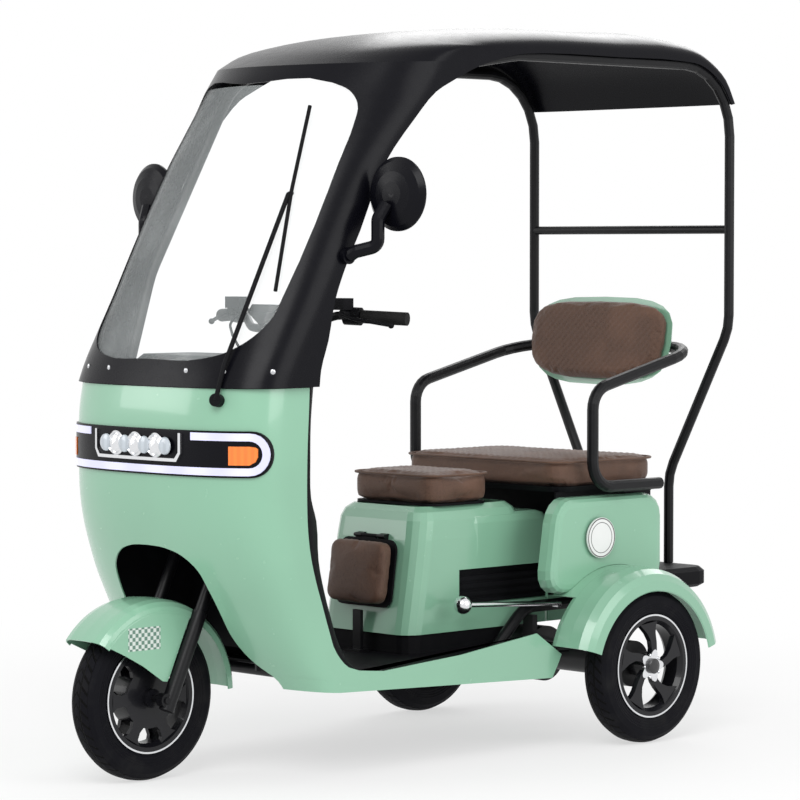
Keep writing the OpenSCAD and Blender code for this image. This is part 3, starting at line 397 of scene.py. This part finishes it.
def smooth_through(knots, steps):
    """Numbers that run smoothly through a table of knots, with steps between each two."""
    spans = [max(1e-6, math.dist(a[:6], b[:6])) for a, b in zip(knots, knots[1:])]
    slopes = []
    for i, knot in enumerate(knots):
        before = spans[i - 1] if i else None
        after = spans[i] if i < len(spans) else None
        rise_before = [(a - b) / before for a, b in zip(knot, knots[i - 1])] if before else None
        rise_after = [(a - b) / after for a, b in zip(knots[i + 1], knot)] if after else None
        if before and after:
            total = before + after
            slopes.append([(p * after + q * before) / total for p, q in zip(rise_before, rise_after)])
        else:
            slopes.append(rise_after or rise_before)
    out = []
    for i, span in enumerate(spans):
        for k in range(steps):
            t = k / steps
            h0, h1 = (1 + 2 * t) * (1 - t) ** 2, t * (1 - t) ** 2
            h2, h3 = t * t * (3 - 2 * t), t * t * (t - 1)
            columns = zip(knots[i], slopes[i], knots[i + 1], slopes[i + 1])
            out.append([h0 * a + h1 * span * m + h2 * b + h3 * span * n for a, m, b, n in columns])
    return out + [list(knots[-1])]


# Draped skins ---------------------------------------------------------------------------------

# A row holds, in millimetres: middle y, middle z, shoulder y, shoulder z, edge y, edge z, half width,
# squareness. The rows are those of the part's source, and the skins run smoothly through them.
COWL = [
    [-1383, 984, -1207, 984, -1148, 984, 362.6, 2.6],
    [-1393, 920, -1215, 920, -1153, 920, 365, 2.6],
    [-1395, 886, -1217, 886, -1156, 886, 366, 2.6],
    [-1395, 764, -1217, 764, -1160, 764, 366, 2.6],
    [-1392, 700, -1215, 700, -1160, 700, 366, 2.6],
    [-1380, 632, -1205, 632, -1157, 632, 366, 2.6],
    [-1360, 569, -1190, 569, -1148, 569, 366, 2.6],
    [-1335, 503, -1170, 503, -1130, 503, 366, 2.6],
    [-1305, 443, -1145, 443, -1109, 443, 366, 2.6],
    [-1270, 380, -1120, 380, -1087, 380, 366, 2.6],
    [-1230, 320, -1090, 320, -1060, 320, 366, 2.6],
    [-1205, 290, -1080, 285, -1020, 283, 366, 2.6],
    [-1190, 270, -1070, 262, -900, 264, 366, 2.6],
    [-1180, 255, -1060, 245, -250, 252, 366, 2.6],
    [-1165, 232, -1050, 222, -285, 192, 366, 2.6],
]
SHIELD = [
    [-940, 984, -1140, 984, -1152, 984, 357.5, 1.3],
    [-962, 900, -1148, 900, -1162, 900, 360, 1.3],
    [-970, 800, -1150, 800, -1166, 800, 361, 1.3],
    [-972, 710, -1150, 710, -1166, 710, 361, 1.35],
    [-968, 650, -1148, 650, -1164, 650, 361, 1.6],
    [-966, 550, -1138, 550, -1154, 550, 361, 1.6],
    [-962, 470, -1112, 470, -1129, 470, 361, 1.6],
    [-956, 400, -1088, 400, -1104, 400, 361, 1.7],
    [-950, 340, -1062, 340, -1079, 340, 361, 1.8],
    [-940, 295, -1030, 295, -1048, 295, 361, 2.0],
    [-925, 262.3, -982, 262.3, -1000, 262.3, 361, 2.2],
]
BROW = [-1000, 1790, -695, 1800, -662, 1757, 383, 1.85]
WINDSHIELD = [
    [-1387, 986, -1212, 986, -1127, 986, 376, 2.6],
    [-1372, 1026, -1197, 1026, -1122, 1026, 376, 2.55],
    [-1340, 1100, -1160, 1100, -1097, 1100, 376, 2.4],
    [-1293, 1200, -1105, 1200, -1074, 1200, 376, 2.25],
    [-1250, 1293, -1055, 1293, -1033, 1293, 376, 2.2],
    [-1214, 1370, -1008, 1370, -990, 1370, 376, 2.2],
    [-1134, 1540, -912, 1540, -904, 1540, 376, 2.0],
    [-1078, 1660, -814, 1655, -804, 1652, 378, 1.9],
    [-1040, 1740, -742, 1730, -730, 1722, 380, 1.85],
    BROW,
]
ROOF = [
    BROW,
    [-900, 1830, -630, 1835, -595, 1787, 387, 2.0],
    [-745, 1869, -530, 1842, -512, 1812, 391, 2.2],
    [-566, 1895, -440, 1844, -436, 1828, 394, 2.4],
    [-400, 1909, -340, 1846, -338, 1834, 394, 2.5],
    [-60, 1916, -60, 1847, -60, 1835, 394, 2.5],
    [200, 1914, 200, 1846, 198, 1834, 394, 2.5],
    [285, 1896, 270, 1838, 267, 1827, 394, 2.5],
    [347, 1860, 322, 1816, 317, 1806, 394, 2.6],
    [396, 1809, 369, 1781, 361, 1773, 395, 2.9],
    [428, 1724, 408, 1725, 398, 1722, 395, 3.2],
]
# Half outlines in front view: half width, height
ARCH = [
    [262, 200], [255, 250], [212, 295], [188, 350], [182, 430], [176, 480], [162, 530], [122, 566],
    [64, 584], [0, 588],
]
WINDOW = [
    [0, 1052], [190, 1056], [250, 1072], [294, 1102], [322, 1146], [328, 1210], [328, 1560],
    [322, 1630], [308, 1690], [282, 1722], [240, 1742], [0, 1744],
]


def span_point(row, inset, share):
    """A place on a section, in millimetres; share runs from -1 at the right edge to 1 at the left."""
    middle_y, middle_z, shoulder_y, shoulder_z, edge_y, edge_z, half, square = row
    turn = abs(share) * math.pi / 2
    length = math.hypot(shoulder_y - middle_y, shoulder_z - middle_z)
    start_y = middle_y + inset * (shoulder_y - middle_y) / length
    start_z = middle_z + inset * (shoulder_z - middle_z) / length
    drop = 1 - math.cos(turn) ** (2 / square)
    x = math.copysign((half - inset) * math.sin(turn) ** (2 / square), share)
    return place_at(x, start_y + (shoulder_y - start_y) * drop, start_z + (shoulder_z - start_z) * drop)


def draped(bm, rows, inset, thickness, reach=1.0, across=26, along=3):
    """A shell of even thickness draped over a table of sections, smooth both ways."""
    rims = []
    for depth in (inset, inset + thickness):
        lines = []
        for row in smooth_through(rows, along):
            shares = [reach * k / across for k in range(-across, across + 1)]
            line = [span_point(row, depth, share) for share in shares]
            if reach == 1.0:
                line = [place_at(depth - row[6], row[4], row[5])] + line
                line.append(place_at(row[6] - depth, row[4], row[5]))
            lines.append([bm.verts.new(p) for p in line])
        for first, second in zip(lines, lines[1:]):
            for i in range(len(first) - 1):
                bm.faces.new((first[i], first[i + 1], second[i + 1], second[i]))
        rims += [lines[0], lines[-1], [line[0] for line in lines], [line[-1] for line in lines]]
    for outer, inner in zip(rims[:4], rims[4:]):
        for i in range(len(outer) - 1):
            bm.faces.new((outer[i], outer[i + 1], inner[i + 1], inner[i]))


def cut_through(piece, half, back):
    """Cuts a front view outline through a piece, from in front of it back to a place."""
    ring = [(p[0], p[1]) for p in smooth_through([[*p, 0, 0, 0, 0] for p in half], 4)]
    ring += [(-x, z) for x, z in reversed(ring[1:] if half[0][0] == 0 else ring) if abs(x) > 1e-6]
    bm = bmesh.new()
    plate(bm, [place_at(x, back, z) for x, z in ring], Vector((0, -0.7, 0)))
    bmesh.ops.recalc_face_normals(bm, faces=bm.faces)
    mesh = bpy.data.meshes.new("cutter")
    bm.to_mesh(mesh)
    bm.free()
    cutter = bpy.data.objects.new("cutter", mesh)
    bpy.context.scene.collection.objects.link(cutter)
    cut = piece.modifiers.new("cut", "BOOLEAN")
    cut.operation = "DIFFERENCE"
    cut.solver = "EXACT"
    cut.use_self = True
    cut.object = cutter
    apply_modifier(piece, cut)
    bpy.data.objects.remove(cutter)
    bpy.data.meshes.remove(mesh)
    piece.data.set_sharp_from_angle(angle=math.radians(40))


class Nose:
    """Places on the cowl by the length along it from its middle and the height, as the lamps need."""

    stops = 64

    def __init__(self):
        self.rows = {}

    def row(self, z):
        if z not in self.rows:
            for upper, lower in zip(COWL, COWL[1:]):
                if lower[1] <= z <= upper[1]:
                    share = (z - upper[1]) / (lower[1] - upper[1])
                    row = [a + (b - a) * share for a, b in zip(upper, lower)]
                    row[1] = row[3] = row[5] = z
                    self.rows[z] = row
        return self.rows[z]

    def at(self, s, z, out):
        """s along the nose and out in front of it, in millimetres."""
        row = self.row(z)
        key = (z, out)
        if key not in self.rows:
            line = [span_point(row, -out, k / self.stops) for k in range(self.stops + 1)]
            self.rows[key] = line
        line, left = self.rows[key], abs(s) / 1000
        for a, b in zip(line, line[1:]):
            step = (b - a).length
            if left <= step:
                p = a.lerp(b, left / step)
                break
            left -= step
        else:
            p = line[-1].copy()
        return Vector((math.copysign(p.x, s), p.y, p.z))


NOSE = Nose()


def ribbon(bm, pairs, out, thickness, pitch=7.0):
    """A band on the cowl through pairs of places (along, height), with rounded long edges."""
    dense = []
    for (a, b), (c, d) in zip(pairs, pairs[1:]):
        count = max(1, math.ceil(max(math.dist(a, c), math.dist(b, d)) / pitch))
        for k in range(count):
            t = k / count
            dense.append([[p + (q - p) * t for p, q in zip(*ends)] for ends in ((a, c), (b, d))])
    dense.append([list(p) for p in pairs[-1]])
    top = out + thickness
    outline = [(0, out), (0, top - 0.8), (0.06, top), (0.94, top), (1, top - 0.8), (1, out)]
    loops = []
    for low, high in dense:
        ring = []
        for share, depth in outline:
            s, z = [p + (q - p) * share for p, q in zip(low, high)]
            ring.append(NOSE.at(s, round(z, 2), depth))
        loops.append(ring_loop(bm, ring))
    for first, second in zip(loops, loops[1:]):
        bmesh.ops.bridge_loops(bm, edges=first + second)
    for loop in (loops[0], loops[-1]):
        bmesh.ops.edgeloop_fill(bm, edges=loop)


# Settings -------------------------------------------------------------------------------------


def colour_setting(name, description, default):
    return bpy.props.FloatVectorProperty(
        name=name, description=description, subtype="COLOR", size=3, min=0, max=1, default=default
    )


def length_setting(name, description, default):
    return bpy.props.FloatProperty(
        name=name, description=description, subtype="DISTANCE", unit="LENGTH", min=0, default=default
    )


class TRIKE_PG_colours(bpy.types.PropertyGroup):
    """Colours of the panels, seats and lamps."""

    panel: colour_setting("Panels", "Colour of the painted panels", (0.23, 0.455, 0.315))
    gloss: colour_setting("Gloss black", "Colour of the shining black shells", (0.003, 0.003, 0.005))
    dark: colour_setting("Dark mouldings", "Colour of the black mouldings", (0.004, 0.004, 0.005))
    seat: colour_setting("Seats", "Colour of the seat leather", (0.125, 0.064, 0.04))
    guide: colour_setting("Light guide", "Colour of the light guide in the nose", (0.62, 0.62, 0.85))
    signal: colour_setting("Indicators", "Colour of the turn lamps", (0.85, 0.2, 0.02))
    tail: colour_setting("Tail lamps", "Colour of the tail lamps", (0.5, 0.01, 0.01))


class TRIKE_PG_sizes(bpy.types.PropertyGroup):
    """Sizes of the fittings."""

    piping: length_setting("Piping", "Radius of the piping round the cushions", 0.0035)
    screw: length_setting("Screw heads", "Radius of the screw heads on the panels", 0.0065)
    quilt: length_setting("Quilting", "Distance between the seams of the cushions", 0.022)


# Operators ------------------------------------------------------------------------------------


def paint(material, *nodes):
    for node in nodes:
        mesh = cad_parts[node].data
        mesh.materials.clear()
        mesh.materials.append(material)


TREAD_BLOCKS = 44


def tyre_rubber(name, centre):
    """Tyre rubber: slanted tread blocks where it meets the road, with painted shade darkening the gaps
    between them, and fine rings on its walls.
    """
    finish = Finish(name, **{"Specular IOR Level": 0.08})
    x, y, z = finish.place(centre)
    across = (y * y + z * z).root()
    turn = y.angle_to(z) * (TREAD_BLOCKS / math.tau)
    slant = (turn + x.apart() * 38.0).fraction()
    block_gap = (slant - 0.5).apart().step(0.34, 0.42)
    ring = (x.apart() - 0.011).apart().step(0.0012, 0.0028)
    on_tread = across.step(0.197, 0.2)
    treads = (1.0 - block_gap) * ring
    ringed = across.step(0.145, 0.15) * (1.0 - across.step(0.168, 0.172))
    walls = 0.5 + 0.5 * (across * 900.0).sine() * ringed
    dust = finish.noise(18.0, 5.0)
    worn = finish.blend(dust.step(0.45, 0.85), (0.004, 0.004, 0.006), (0.012, 0.012, 0.013))
    # The gaps between the tread blocks are painted near black: painted shade in the grooves.
    finish.feed(Base_Color=finish.blend(on_tread * (1.0 - treads), worn, (0.001, 0.001, 0.001)))
    finish.feed(Roughness=0.52 + 0.2 * dust)
    return finish.relief(on_tread * treads + (1.0 - on_tread) * walls * 0.4, 0.003, 1.0).material


class TRIKE_OT_finishes(bpy.types.Operator):
    """Give every carried-over part its finish"""

    bl_idname = "trike.finishes"
    bl_label = "Finishes"

    def execute(self, context):
        colours = context.scene.trike_colours
        panel = moulded_gloss("panel_gloss", tuple(colours.panel))
        gloss = moulded_gloss("black_gloss", tuple(colours.gloss), 0.0, 0.22, 0.12)
        matt = moulded_matt("black_moulded", tuple(colours.dark))
        tubes = tube_paint("black_tubes", (0.004, 0.004, 0.005))
        paint(panel, "front_cowl", "seat_box", "side_panels", "backrest_shell", "rear_fenders")
        paint(checked_panel("mudguard_gloss", tuple(colours.panel)), "front_mudguard")
        paint(gloss, "windshield_frame", "roof_panel", "lamp_band", "mirrors")
        paint(matt, "floorboard", "leg_shield", "dashboard", "wheel_arch_liner", "side_vents")
        paint(matt, "rear_core", "rear_bumper", "wiper", "bar_controls")
        paint(matt, "rider_seat_plate", "bench_plate", "child_seat_plate")
        paint(tubes, "frame", "canopy_tubes", "seat_hoop", "child_seat_bracket")
        paint(tubes, "steering_fork", "handlebar")
        paint(tube_paint("axle_paint", (0.02, 0.02, 0.021)), "rear_axle", "rear_springs")
        paint(rubber("hose_rubber"), "brake_hose")
        paint(rubber("grip_rubber", (0.012, 0.012, 0.012)), "grips")
        paint(moulded_matt("battery_case", (0.03, 0.033, 0.036)), "battery")
        paint(bright("bright_trim"), "head_lamps", "hand_brake")
        paint(clear("windshield_sheet", (0.86, 0.93, 0.94)), "windshield_glass")
        paint(lens("light_guide_lens", tuple(colours.guide), 40.0, 0.3, 0.0), "light_guide")
        paint(lens("indicator_lens", tuple(colours.signal), glow=0.1), "front_indicators")
        paint(lens("tail_lens", tuple(colours.tail)), "tail_lamps")
        rim = moulded_gloss("rim_black", (0.006, 0.006, 0.008), 0.2, 0.25, 0.2)
        paint(rim, "front_rim", "rear_rim_left", "rear_rim_right")
        paint(tyre_rubber("front_tread", tuple(FRONT_AXLE)), "front_tyre")
        for body, centre in REAR_AXLES.items():
            paint(tyre_rubber(body + "_tread", tuple(centre)), body.replace("wheel_rear", "rear_tyre"))
        return {"FINISHED"}


class TRIKE_OT_skins(bpy.types.Operator):
    """Drape the smooth shells of the nose, the windshield, the roof and the leg shield"""

    bl_idname = "trike.skins"
    bl_label = "Skins"

    def execute(self, context):
        materials = bpy.data.materials
        for node, rows, inset, reach, slot, material in (
            ("front_cowl", COWL, 0, 1.0, "mint_panel", "panel_gloss"),
            ("windshield_frame", WINDSHIELD, 0, 1.0, "gloss_black", "black_gloss"),
            ("windshield_glass", WINDSHIELD[1:-1], 4.3, 0.75, "clear_glass", "windshield_sheet"),
            ("roof_panel", ROOF, 0, 1.0, "gloss_black", "black_gloss"),
            ("leg_shield", SHIELD, 0, 1.0, "black_moulding", "black_moulded"),
        ):
            bm = bmesh.new()
            draped(bm, rows, inset, 4, reach)
            skin = keep(bm, node + "_skin", "chassis", materials[material])
            if node == "front_cowl":
                cut_through(skin, ARCH, -1000)
            if node == "windshield_frame":
                cut_through(skin, WINDOW, -860)
            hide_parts(node)
        return {"FINISHED"}


# The lamp band and the projectors in it, in millimetres along the cowl and up
BAND_TIP, BAND_MIDDLE, BAND_RADIUS = 412, 825, 57
LAMP_PITCH, LAMP_HEIGHT = 76, 841


def band_pairs(tip, middle, radius, steps=8):
    """Pairs of places along a ribbon with round ends, from one tip to the other."""
    ends = []
    for k in range(steps + 1):
        turn = math.pi / 2 * k / steps
        rise = max(0.02, math.sin(turn))
        ends.append([
            (-(tip - radius) - radius * math.cos(turn), middle - radius * rise),
            (-(tip - radius) - radius * math.cos(turn), middle + radius * rise),
        ])
    mirrored = [[(-s, z) for s, z in pair] for pair in reversed(ends)]
    return ends + mirrored


class TRIKE_OT_lamps(bpy.types.Operator):
    """Lay the lamp band over the nose and set four projectors in it"""

    bl_idname = "trike.lamps"
    bl_label = "Lamps"

    def execute(self, context):
        materials = bpy.data.materials
        bm = bmesh.new()
        ribbon(bm, band_pairs(BAND_TIP, BAND_MIDDLE, BAND_RADIUS), 0.8, 5.2)
        band = keep(bm, "lamp_band_skin", "chassis", materials["black_gloss"])
        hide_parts("lamp_band")
        glass = lens("projector_glass", (0.5, 0.55, 0.6), ribbed=0.0)
        for k in (-1.5, -0.5, 0.5, 1.5):
            s = LAMP_PITCH * k
            centre = NOSE.at(s, LAMP_HEIGHT, 12.0)
            out = (NOSE.at(s, LAMP_HEIGHT, 20.0) - NOSE.at(s, LAMP_HEIGHT, 10.0)).normalized()
            bm = bmesh.new()
            outline = [(0.0, 0.0222), (0.0035, 0.021), (0.006, 0.017), (0.0075, 0.01), (0.008, 0.0)]
            revolve(bm, outline, centre, out, 32)
            keep(bm, "projector_glass_%d" % round(k * 2), "chassis", glass)
        return {"FINISHED"}


CUSHIONS = [
    # name, body, node, the way its sitting face looks
    ("rider_cushion_soft", "rider_seat", "rider_cushion", (0, 0, 1)),
    ("bench_cushion_soft", "bench_seat", "bench_cushion", (0, 0, 1)),
    ("child_cushion_soft", "child_seat", "child_cushion", (0, 0, 1)),
    ("backrest_cushion_soft", "chassis", "backrest_cushion", (0, -1, 0)),
]


def puffed(node, name, voxel=0.005, pressure=4.0, cap=0.008, shrink=0.006):
    """A leather cushion blown up from its solid by a short cloth run."""
    bm = merged_node(node)
    bmesh.ops.recalc_face_normals(bm, faces=bm.faces)
    for v in bm.verts:
        v.normal_update()
    for v in bm.verts:
        v.co -= v.normal * shrink
    mesh = bpy.data.meshes.new(name)
    bm.to_mesh(mesh)
    bm.free()
    piece = bpy.data.objects.new(name, mesh)
    bpy.context.scene.collection.objects.link(piece)
    bpy.context.view_layer.objects.active = piece
    remesh = piece.modifiers.new("remesh", "REMESH")
    remesh.mode = "VOXEL"
    remesh.voxel_size = voxel
    apply_modifier(piece, remesh)
    before = [v.co.copy() for v in piece.data.vertices]
    cloth = piece.modifiers.new("cloth", "CLOTH")
    cloth.settings.use_pressure = True
    cloth.settings.uniform_pressure_force = pressure
    cloth.settings.effector_weights.gravity = 0
    cloth.settings.tension_stiffness = 40
    cloth.settings.compression_stiffness = 40
    cloth.settings.bending_stiffness = 6
    cloth.point_cache.frame_end = 20
    for moment in range(1, 21):
        bpy.context.scene.frame_set(moment)
    apply_modifier(piece, cloth)
    bpy.context.scene.frame_set(1)
    for v, old in zip(piece.data.vertices, before):
        move = v.co - old
        if move.length > cap:
            v.co = old + move * (cap / move.length)
    return piece


def quilted(piece, faces, pitch, depth=0.0026, width=0.0032):
    """Presses diagonal seams into the sitting face of a cushion."""
    faces = Vector(faces)
    normals = [v.normal.copy() for v in piece.data.vertices]
    for v, normal in zip(piece.data.vertices, normals):
        facing = max(0.0, (normal.dot(faces) - 0.75) / 0.25)
        rise = v.co.z if faces.y else v.co.y
        press = 0.0
        for along in (v.co.x + rise, v.co.x - rise):
            off = abs((along / pitch) % 1.0 - 0.5) * pitch
            press = max(press, math.exp(-((off / width) ** 2)))
        v.co -= normal * (press * depth * facing)


def round_loop(half, low, high, corner, height, steps=8):
    """A closed loop with round corners at a height, in millimetres."""
    loop = []
    for cx, cy, start in (
        (half - corner, high - corner, 0),
        (corner - half, high - corner, 90),
        (corner - half, low + corner, 180),
        (half - corner, low + corner, 270),
    ):
        for k in range(steps + 1):
            turn = math.radians(start + 90 * k / steps)
            loop.append(place_at(cx + corner * math.cos(turn), cy + corner * math.sin(turn), height))
    return loop


class TRIKE_OT_cushions(bpy.types.Operator):
    """Make the leather cushions of the seats and the backrest, with seams and piping"""

    bl_idname = "trike.cushions"
    bl_label = "Cushions"

    def execute(self, context):
        sizes = context.scene.trike_sizes
        seat = tuple(context.scene.trike_colours.seat)
        hide = leather("seat_leather", seat, shaded(seat, 0.35))
        for name, body, node, faces in CUSHIONS:
            piece = puffed(node, name)
            piece.data.materials.append(hide)
            for face in piece.data.polygons:
                face.use_smooth = True
            quilted(piece, faces, sizes.quilt)
            smooth = piece.modifiers.new("smooth", "SUBSURF")
            smooth.levels = smooth.render_levels = 1
            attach(piece, body)
            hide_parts(node)
        for name, body, outline in (
            ("rider_piping", "rider_seat", (161, -530, -300, 46, 726)),
            ("bench_piping", "bench_seat", (306, -196, 202, 60, 754)),
        ):
            bm = bmesh.new()
            tube(bm, round_loop(*outline), sizes.piping, closed=True)
            keep(bm, name, body, hide)
        return {"FINISHED"}


def on_row(row, x):
    """A place on a section at a distance from the middle, and the way out of the skin there."""
    turn = math.asin((abs(x) / row[6]) ** (row[7] / 2))
    share = math.copysign(turn / (math.pi / 2), x)
    here, beside = span_point(row, 0, share), span_point(row, 0, share + 0.01)
    out = (beside - here).normalized().cross(Vector((0, 0, 1)))
    return here, out if out.y < 0 else -out


def dome(bm, place, out, radius, rise):
    """A low dome, for a screw head or a lamp button."""
    shares = ((0, 1), (0.45, 1), (0.8, 0.8), (1, 0.35), (1, 0))
    revolve(bm, [(rise * along, radius * across) for along, across in shares], place, out, 20)


# The middle of the left disc on the side panels, and how far the discs are let in
DISC_PLACE = (0.3455, 0.508, 0.55)
DISC_SUNK = 0.004


class TRIKE_OT_fittings(bpy.types.Operator):
    """Fit the screws of the windshield's frame and the blank discs of the side panels"""

    bl_idname = "trike.fittings"
    bl_label = "Fittings"

    def execute(self, context):
        radius = context.scene.trike_sizes.screw
        steel = bright("screw_steel", (0.6, 0.61, 0.63), 0.2)
        bm = bmesh.new()
        for x in (-361, -263, -150, 150, 263, 361):
            place, out = on_row(WINDSHIELD[1], x)
            dome(bm, place, out, radius, 0.003)
        keep(bm, "windshield_screws", "chassis", steel)

        disc = printed("disc_white", (0.8, 0.81, 0.8))
        ring = printed("disc_ring", (0.01, 0.01, 0.01))
        for side, word in ((-1, "right"), (1, "left")):
            out = Vector((side, 0, 0))
            centre = Vector((side * DISC_PLACE[0], DISC_PLACE[1], DISC_PLACE[2]))
            for name, material, low, high, rise in (
                ("disc", disc, 0.0, 0.054, 0.0012),
                ("disc_outer_ring", ring, 0.050, 0.0525, 0.0016),
                ("disc_inner_ring", ring, 0.040, 0.0415, 0.0016),
            ):
                bm = bmesh.new()
                outline = [(-DISC_SUNK, high), (rise, high), (rise, low), (-DISC_SUNK, low)]
                outline = outline + outline[:1] if low else outline[:3]
                revolve(bm, outline, centre, out, 64)
                keep(bm, name + "_" + word, "chassis", material)
        return {"FINISHED"}


# Outlines on the rims as (out along the axle, radius)
LIP = [(0.0315, 0.1335), (0.0345, 0.1345), (0.0345, 0.1388), (0.032, 0.1392)]
HUB_CAP = [(0.0302, 0.0205), (0.0405, 0.0205), (0.042, 0.018), (0.0428, 0.008), (0.0428, 0.0)]


def around(out, radius, turn):
    """A place by a wheel's axle: out along it, and at a radius and an angle from +Y towards +Z."""
    return Vector((out, radius * math.cos(turn), radius * math.sin(turn)))


class TRIKE_OT_wheels(bpy.types.Operator):
    """Dress the rims with polished lips, star plates, bolts and blank caps"""

    bl_idname = "trike.wheels"
    bl_label = "Wheels"

    def execute(self, context):
        polish = bright("rim_polish", roughness=0.16)
        cap = moulded_gloss("cap_black", (0.012, 0.012, 0.013), 0.3)
        wheels = {"front_wheel": FRONT_AXLE, **REAR_AXLES}
        for body, centre in wheels.items():
            sides = (-1, 1) if body == "front_wheel" else (1 if centre.x > 0 else -1,)
            bm = bmesh.new()
            for side in sides:
                out = Vector((side, 0, 0))
                revolve(bm, LIP + LIP[:1], centre, out, 96)
            keep(bm, body + "_lips", body, polish)
            if body == "front_wheel":
                continue
            side = sides[0]
            bm = bmesh.new()
            outline = []
            for k in range(120):
                turn = math.tau * k / 120
                reach = 0.036 + 0.009 * math.cos(5 * turn)
                outline.append(centre + around(side * 0.0304, reach, turn))
            plate(bm, outline, Vector((side * 0.0022, 0, 0)))
            for k in range(5):
                turn = math.tau * (k + 0.5) / 5
                place = centre + around(side * 0.0302, 0.031, turn)
                dome(bm, place, Vector((side, 0, 0)), 0.0042, 0.006)
            keep(bm, body + "_star", body, polish)
            bm = bmesh.new()
            revolve(bm, HUB_CAP, centre, Vector((side, 0, 0)), 48)
            keep(bm, body + "_cap", body, cap)
        return {"FINISHED"}


class Sky(Finish):
    """The world: white where the camera and clear things see it, dimmer as a light."""

    def __init__(self, world):
        world.use_nodes = True
        self.nodes, self.links = world.node_tree.nodes, world.node_tree.links
        self.nodes.clear()
        path = self.node("ShaderNodeLightPath", {}, {})
        seen = path.out("Is Camera Ray").greater(path.out("Is Glossy Ray"))
        seen = seen.greater(path.out("Is Transmission Ray"))
        dim = self.node("ShaderNodeBackground", {}, {"Color": (1, 1, 1), "Strength": 0.55})
        white = self.node("ShaderNodeBackground", {}, {"Color": (1, 1, 1), "Strength": 1.0})
        mix = self.node("ShaderNodeMixShader", {}, {0: seen, 1: dim.out(0), 2: white.out(0)})
        self.node("ShaderNodeOutputWorld", {}, {0: mix.out(0)})


class TRIKE_OT_stage(bpy.types.Operator):
    """Set the floor, the lamps, the sky and the camera"""

    bl_idname = "trike.stage"
    bl_label = "Stage"

    def execute(self, context):
        bm = bmesh.new()
        bmesh.ops.create_grid(bm, x_segments=1, y_segments=1, size=30)
        mesh = bpy.data.meshes.new("floor")
        bm.to_mesh(mesh)
        bm.free()
        ground = bpy.data.objects.new("floor", mesh)
        context.scene.collection.objects.link(ground)
        pale = Finish("floor_white", Roughness=0.9)
        pale.feed(Base_Color=(0.88, 0.88, 0.88))
        x, y, _ = pale.place()
        away = (x * x + y * y).root().step(1.2, 3.2)
        glow = pale.node("ShaderNodeEmission", {}, {"Color": (1, 1, 1), "Strength": 1.0})
        shares = {0: 0.6 + 0.4 * away, 1: pale.shader.out(0), 2: glow.out(0)}
        mix = pale.node("ShaderNodeMixShader", {}, shares)
        pale.set(pale.output.item.inputs[0], mix.out(0))
        mesh.materials.append(pale.material)

        world = bpy.data.worlds.new("sky")
        context.scene.world = world
        Sky(world)

        for name, place, size, power in [
            ("key", (3.5, -5.0, 5.5), 4.0, 300),
            ("fill", (6.0, 1.0, 3.0), 4.0, 130),
            ("front", (-4.0, -5.0, 3.0), 3.0, 80),
            ("back", (-3.0, 5.0, 5.0), 4.0, 130),
        ]:
            lamp = bpy.data.lights.new(name, "AREA")
            lamp.size = size
            lamp.energy = power
            holder = bpy.data.objects.new(name, lamp)
            holder.location = place
            aim = Vector((0, 0, 0.8)) - Vector(place)
            holder.rotation_euler = aim.to_track_quat("-Z", "Y").to_euler()
            context.scene.collection.objects.link(holder)

        camera = bpy.data.cameras.new("camera")
        camera.sensor_width = 36
        camera.lens = 150.74
        camera.clip_end = 100
        eye = bpy.data.objects.new("camera", camera)
        forward = Vector((-0.72055333, 0.69195436, -0.04474453))
        right = Vector((0.69264807, 0.72127571, 0))
        turn = Matrix((right, right.cross(forward), -forward)).transposed().to_4x4()
        eye.matrix_world = Matrix.Translation((6.44473565, -6.68137536 + AXLE_Y, 1.32215307)) @ turn
        context.scene.collection.objects.link(eye)
        context.scene.camera = eye
        context.scene.view_settings.view_transform = "Standard"
        return {"FINISHED"}


OPERATORS = [
    TRIKE_OT_finishes,
    TRIKE_OT_skins,
    TRIKE_OT_lamps,
    TRIKE_OT_cushions,
    TRIKE_OT_wheels,
    TRIKE_OT_fittings,
    TRIKE_OT_stage,
]


class TRIKE_PT_panel(bpy.types.Panel):
    """Lists the tricycle's pieces and settings"""

    bl_label = "Tricycle"
    bl_idname = "TRIKE_PT_panel"
    bl_space_type = "VIEW_3D"
    bl_region_type = "UI"
    bl_category = "Tricycle"

    def draw(self, context):
        for group in (context.scene.trike_colours, context.scene.trike_sizes):
            for key in group.__annotations__:
                self.layout.prop(group, key)
        for operator in OPERATORS:
            self.layout.operator(operator.bl_idname)


CLASSES = [TRIKE_PG_colours, TRIKE_PG_sizes, *OPERATORS, TRIKE_PT_panel]


def register():
    for cls in CLASSES:
        bpy.utils.register_class(cls)
    bpy.types.Scene.trike_colours = bpy.props.PointerProperty(type=TRIKE_PG_colours)
    bpy.types.Scene.trike_sizes = bpy.props.PointerProperty(type=TRIKE_PG_sizes)


def unregister():
    del bpy.types.Scene.trike_sizes
    del bpy.types.Scene.trike_colours
    for cls in reversed(CLASSES):
        bpy.utils.unregister_class(cls)


def main():
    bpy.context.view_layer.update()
    register()
    bpy.ops.trike.finishes()
    bpy.ops.trike.skins()
    bpy.ops.trike.lamps()
    bpy.ops.trike.cushions()
    bpy.ops.trike.wheels()
    bpy.ops.trike.fittings()
    bpy.ops.trike.stage()


if __name__ == "__main__":
    main()
